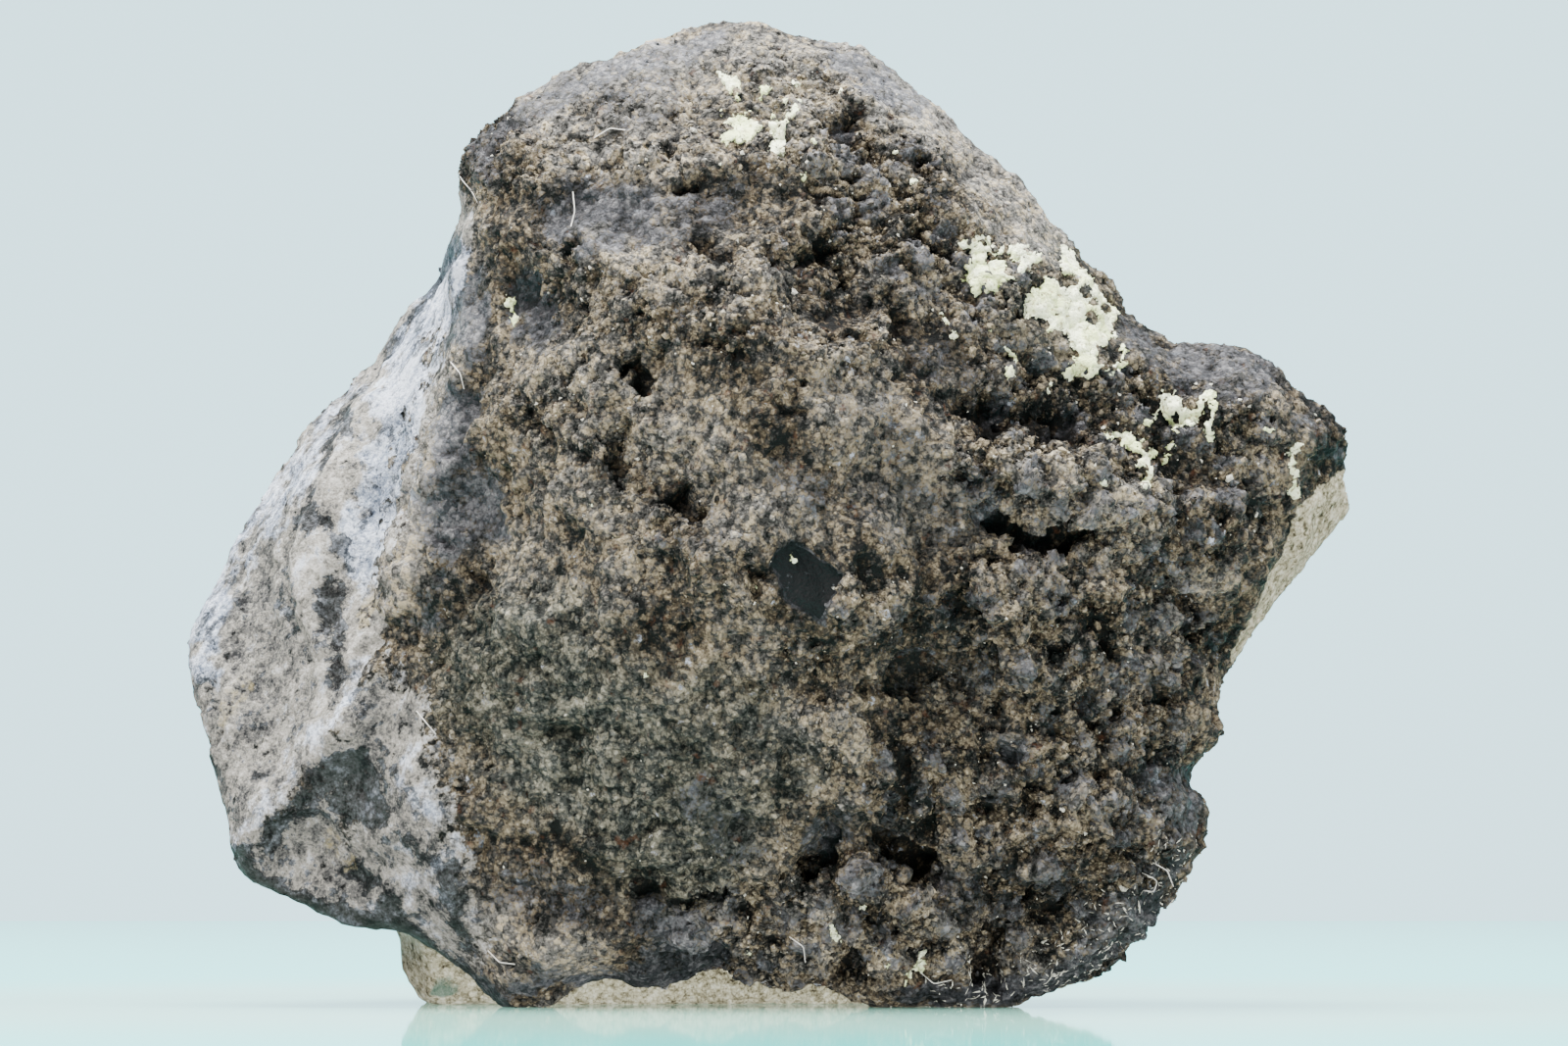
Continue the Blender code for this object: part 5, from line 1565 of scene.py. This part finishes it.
@dataclass
class GrainScatter:
    """Scatters crumbs over the stone's fine skin, thickest where it crumbles.

    Attributes:
        skin: the finished stone.
        fields: the skin's zones.
        spread: how far a crumb's lightness strays from that of the skin.
        turn: how uneven a crumb's shape is.
        sink: how deep a crumb's middle is sunk, as a share of its radius.
    """

    skin: bpy.types.Object
    fields: dict[Zone, np.ndarray]
    spread: float = 0.6
    turn: float = 0.2
    sink: float = 0.25

    def build(self) -> None:
        """Makes every set of crumbs."""
        mesh = self.skin.data
        material = mesh.materials[0]
        points, normals = mesh_points(mesh), mesh_normals(mesh)
        mesh.calc_loop_triangles()
        corners = np.empty(len(mesh.loop_triangles) * 3, np.int32)
        mesh.loop_triangles.foreach_get("vertices", corners)
        corners = corners.reshape(-1, 3)
        edges = points[corners[:, 1:]] - points[corners[:, :1]]
        area = np.linalg.norm(np.cross(edges[:, 0], edges[:, 1]), axis=1)
        centre = points[corners].mean(axis=1)
        facing = normals[corners].mean(axis=1)
        facing /= np.maximum(np.linalg.norm(facing, axis=1), 0.001)[:, None]
        places = SIGHT.places(centre)
        surface = Surface(places, np.zeros_like(places))
        calm = np.maximum(self.fields[Zone.FLANK], self.fields[Zone.PALE])[corners].mean(axis=1)
        bare_and_shade = self.fields[Zone.BARE_AND_SHADE][corners].mean(axis=1)
        dust_and_top_light = np.clip(self.fields[Zone.DUST_AND_TOP_LIGHT][corners].mean(axis=1), 0.0, 1.0)
        height = self.fields[Zone.HEIGHT_AND_SHADE][corners].mean(axis=1)
        front = smooth_step(-facing[:, 1], -0.4, 0.1)
        open_to = (1.0 - 0.97 * calm) * (0.08 + 0.92 * front) * np.clip(1.1 - 0.35 * height, 0.3, 1.4)
        open_to *= smooth_step(height, -1.5, -0.9) * (1.0 - 0.65 * dust_and_top_light)
        for crust in CRUSTS:
            open_to *= 0.02 + 0.98 * smooth_step(crust.gap(places), -0.2, 0.15)
        for grains in GRAIN_SETS:
            tall = (centre[:, 2] > grains.low) & (centre[:, 2] <= grains.high)
            thick = strongest(surface, grains.where, grains.least) ** 2
            if grains.where is GRAIN_PATCHES:
                thick *= np.clip(1.0 - bare_and_shade, 0.10, 1.0)
            chance = area * thick * tall * open_to
            random = np.random.default_rng(grains.seed)
            chosen = random.choice(len(corners), grains.count, p=chance / chance.sum())
            share = random.dirichlet((1.0, 1.0, 1.0), grains.count)
            spots = (points[corners[chosen]] * share[:, :, None]).sum(axis=1)
            made = self._crumbs(grains, spots, facing[chosen], height[chosen], random)
            per_crumb = len(made.vertices) // grains.count
            for zone, value in self.fields.items():
                if zone is not Zone.HEIGHT_AND_SHADE:
                    store(made, zone.value, np.repeat(value[corners[chosen, 0]], per_crumb))
            add_piece(grains.name, made, material, smooth=False)

    def _crumbs(
        self, grains: GrainSet, spots: np.ndarray, facing: np.ndarray, height: np.ndarray,
        random: np.random.Generator,
    ) -> bpy.types.Mesh:
        """One mesh of crumbs at the spots, each turned its own way."""
        shape, faces = grains.shape()
        count, size = len(spots), len(shape)
        low, high = grains.sizes
        radius = low + (high - low) * random.random(count) ** 2.2
        stretch = random.uniform(0.65, 1.3, (count, 1, 3)) * np.array((grains.length, 1.0, 1.0))
        rough = random.normal(1.0, self.turn, (count, size, 1))
        first, other = random.normal(size=(2, count, 3))
        first -= facing * (first * facing).sum(axis=1)[:, None] * (grains.length > 1.0)
        first /= np.linalg.norm(first, axis=1)[:, None]
        second = np.cross(first, other)
        second /= np.linalg.norm(second, axis=1)[:, None]
        axes = np.stack([first, second, np.cross(first, second)], axis=1)
        placed = (shape[None] * stretch * rough * radius[:, None, None]) @ axes
        outward = (placed * facing[:, None]).sum(axis=2) / radius[:, None]
        placed += (spots - facing * (radius * self.sink)[:, None])[:, None]
        corners = (faces[None] + size * np.arange(count)[:, None, None]).reshape(-1, 3)
        mesh = bpy.data.meshes.new(grains.name)
        mesh.from_pydata((above_floor(placed).reshape(-1, 3) * MM).tolist(), [], corners.tolist())
        # Each crumb is painted lighter on its outward side and darker where it lies in a hollow: painted
        # light and shade.
        light = 0.10 + 0.34 * outward + 0.5 * np.clip(height, -1.2, 0.4)[:, None]
        store(mesh, Zone.HEIGHT_AND_SHADE.value, np.clip(light, -1.2, 1.0).ravel())
        jitter = self.spread * (2.0 * random.random(count) - 1.0)
        jitter[random.random(count) < grains.pale] = 1.3
        store(mesh, "jitter", np.repeat(jitter, size))
        return mesh


@dataclass(frozen=True)
class Fibre:
    """A hair of lint along the places where it is seen, lifted off the stone in between."""

    along: Path
    lift: float = 0.35


FIBRES = (
    Fibre(((-16.4, 43.4), (-16.1, 42.7), (-15.5, 42.0), (-15.2, 41.4))),
    Fibre(((-10.3, 42.0), (-10.2, 41.0), (-10.4, 40.2))),
    Fibre(((-16.6, 33.2), (-16.1, 32.6), (-15.9, 31.8))), Fibre(((-18.3, 15.2), (-17.3, 14.0))),
    Fibre(((-14.6, 2.9), (-14.0, 2.3), (-13.2, 2.2))),
    Fibre(((19.0, 6.9), (19.8, 6.5), (19.6, 5.9), (19.1, 6.0))),
    Fibre(((19.6, 7.4), (20.3, 7.0), (20.6, 6.2))), Fibre(((7.6, 1.8), (8.3, 1.2), (9.2, 1.4))),
    Fibre(((-9.2, 44.8), (-8.4, 45.3), (-7.6, 45.2))), Fibre(((0.9, 3.6), (1.6, 3.1), (1.7, 2.3))),
)


@dataclass
class Lint:
    """Hairs of lint caught on the stone.

    Attributes:
        skin: the finished stone.
        finish: the material.
        radius: how thick a hair is, halved.
        sides: how many sides a hair has.
        steps: how many stretches a hair is made of.
    """

    skin: bpy.types.Object
    finish: PlainFinish = PlainFinish("lint", srgb(206, 204, 196), 0.6)
    radius: float = 0.032
    sides: int = 5
    steps: int = 14

    def build(self) -> None:
        """Makes all the hairs as one piece."""
        tree = BVHTree.FromObject(self.skin, bpy.context.evaluated_depsgraph_get())
        points: list[Vector] = []
        faces: list[tuple[int, ...]] = []
        for fibre in FIBRES:
            self._hair(fibre, tree, points, faces)
        mesh = bpy.data.meshes.new("lint")
        mesh.from_pydata([point * MM for point in points], [], faces)
        add_piece("lint", mesh, self.finish.material())

    def _hair(
        self, fibre: Fibre, tree: BVHTree, points: list[Vector], faces: list[tuple[int, ...]]
    ) -> None:
        """Adds one hair to the mesh's points and faces."""
        path = np.asarray(fibre.along, float)
        along = np.linspace(0.0, len(path) - 1.0, self.steps + 1)
        knots = np.arange(len(path))
        places = np.stack([np.interp(along, knots, column) for column in path.T], axis=1)
        places[1:-1] = (places[:-2] + 2.0 * places[1:-1] + places[2:]) / 4.0
        line = []
        for index, place in enumerate(places):
            eye, way = SIGHT.ray(place)
            spot, _, _, _ = tree.ray_cast(eye * MM, way)
            if spot is None:
                continue
            lift = fibre.lift * math.sin(math.pi * index / self.steps)
            line.append(spot / MM - way * (lift + self.radius))
        for index, spot in enumerate(line):
            ahead = line[min(index + 1, len(line) - 1)] - line[max(index - 1, 0)]
            side = ahead.cross(Vector((0.0, 1.0, 0.0))).normalized()
            upward = ahead.cross(side).normalized()
            start = len(points)
            for step in range(self.sides):
                turn = 2.0 * math.pi * step / self.sides
                points.append(spot + (side * math.cos(turn) + upward * math.sin(turn)) * self.radius)
            if index + 1 < len(line):
                for step in range(self.sides):
                    after = (step + 1) % self.sides
                    faces.append((
                        start + step, start + after, start + after + self.sides, start + step + self.sides
                    ))


@dataclass(frozen=True)
class Lamp:
    """A soft square light.

    Attributes:
        place: where it is, in millimetres.
        width: its width in millimetres.
        power: its power in watts.
        colour: its colour.
    """

    place: tuple[float, float, float]
    width: float
    power: float
    colour: Colour


LAMPS = (
    Lamp((-300.0, -240.0, 300.0), 260.0, 5.8, (1.0, 0.985, 0.96)),
    Lamp((110.0, -260.0, -180.0), 240.0, 2.1, (0.96, 1.0, 0.97)),
    Lamp((260.0, -60.0, 380.0), 240.0, 4.4, (0.98, 0.99, 1.0)),
    Lamp((-60.0, 60.0, 460.0), 300.0, 12.0, (0.98, 0.99, 1.0)),
)


# Each sheet's middle and its size, in millimetres. The floor ends at the horizon of the photo.
FLOOR = ((0.0, -150.0, 0.0), (1600.0, 1100.0))
BACKDROP = ((0.0, 720.0, 300.0), (2600.0, 1200.0))
STONE_MIDDLE = (0.0, 0.0, 24.0)
SKY = (0.92, 0.95, 0.98, 1.0)
SKY_POWER = 0.62


@dataclass
class Studio:
    """The pale floor and backdrop, the lights and the camera.

    Attributes:
        floor: the floor's finish.
        backdrop: the backdrop's finish.
        aim: the place in the middle of the picture.
        field_width: how wide the picture is at the stone's waist.
        sensor: the sensor's width.
    """

    floor: FloorFinish = FloorFinish()
    backdrop: PlainFinish = PlainFinish("backdrop", srgb(174, 211, 220), 0.9, glow=1.45)
    aim: Place = (0.605, 24.88)
    field_width: float = 80.67
    sensor: float = 36.0

    def build(self) -> None:
        """Sets everything up."""
        self._plane("floor", *FLOOR, 0.0, self.floor)
        self._plane("backdrop", *BACKDROP, math.radians(90.0), self.backdrop)
        for index, lamp in enumerate(LAMPS):
            self._lamp(index, lamp)
        self._world()
        self._camera()

    @staticmethod
    def _plane(
        name: str, middle: tuple[float, float, float], size: tuple[float, float], tilt: float,
        finish: PlainFinish | FloorFinish,
    ) -> None:
        """Adds a flat sheet of the surroundings."""
        half = (size[0] * MM / 2.0, size[1] * MM / 2.0)
        mesh = bpy.data.meshes.new(name)
        corners = [(x * half[0], y * half[1], 0.0) for x, y in ((-1, -1), (1, -1), (1, 1), (-1, 1))]
        mesh.from_pydata(corners, [], [(0, 1, 2, 3)])
        mesh.materials.append(finish.material())
        plane = add_object(name, mesh)
        plane.location = Vector(middle) * MM
        plane.rotation_euler = (tilt, 0.0, 0.0)
        plane.visible_diffuse = False
        plane.visible_shadow = False

    @staticmethod
    def _lamp(index: int, lamp: Lamp) -> None:
        """Adds a light that shines on the stone's middle."""
        light = bpy.data.lights.new(f"lamp_{index}", "AREA")
        light.size = lamp.width * MM
        light.energy = lamp.power
        light.color = lamp.colour
        holder = add_object(light.name, light)
        holder.location = Vector(lamp.place) * MM
        target = Vector(STONE_MIDDLE) * MM
        holder.rotation_euler = (target - holder.location).to_track_quat("-Z", "Y").to_euler()

    @staticmethod
    def _world() -> None:
        """Lights everything evenly from all round."""
        world = bpy.data.worlds.new("daylight")
        world.use_nodes = True
        sky = world.node_tree.nodes["Background"]
        sky.inputs["Color"].default_value = SKY
        sky.inputs["Strength"].default_value = SKY_POWER
        bpy.context.scene.world = world

    def _camera(self) -> None:
        """Places the camera at the eye, looking at the middle of the picture."""
        eye = Vector(SIGHT.eye)
        target = Vector((self.aim[0] + SIGHT.middle[0], SIGHT.middle[1], self.aim[1]))
        away = abs(SIGHT.middle[1] - eye.y)
        lens = bpy.data.cameras.new("camera")
        lens.sensor_width = self.sensor
        lens.lens = self.sensor * away / self.field_width
        lens.clip_start = 0.01
        camera = add_object("camera", lens)
        camera.location = eye * MM
        camera.rotation_euler = (target - eye).to_track_quat("-Z", "Y").to_euler()
        bpy.context.scene.camera = camera


def main() -> None:
    """Builds the specimen's looks and its surroundings."""
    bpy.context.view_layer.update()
    skin = Skin()
    stone = skin.build()
    CrustBuilder(stone).build()
    GrainScatter(stone, skin.fields).build()
    Lint(stone).build()
    Studio().build()


if __name__ == "__main__":
    main()
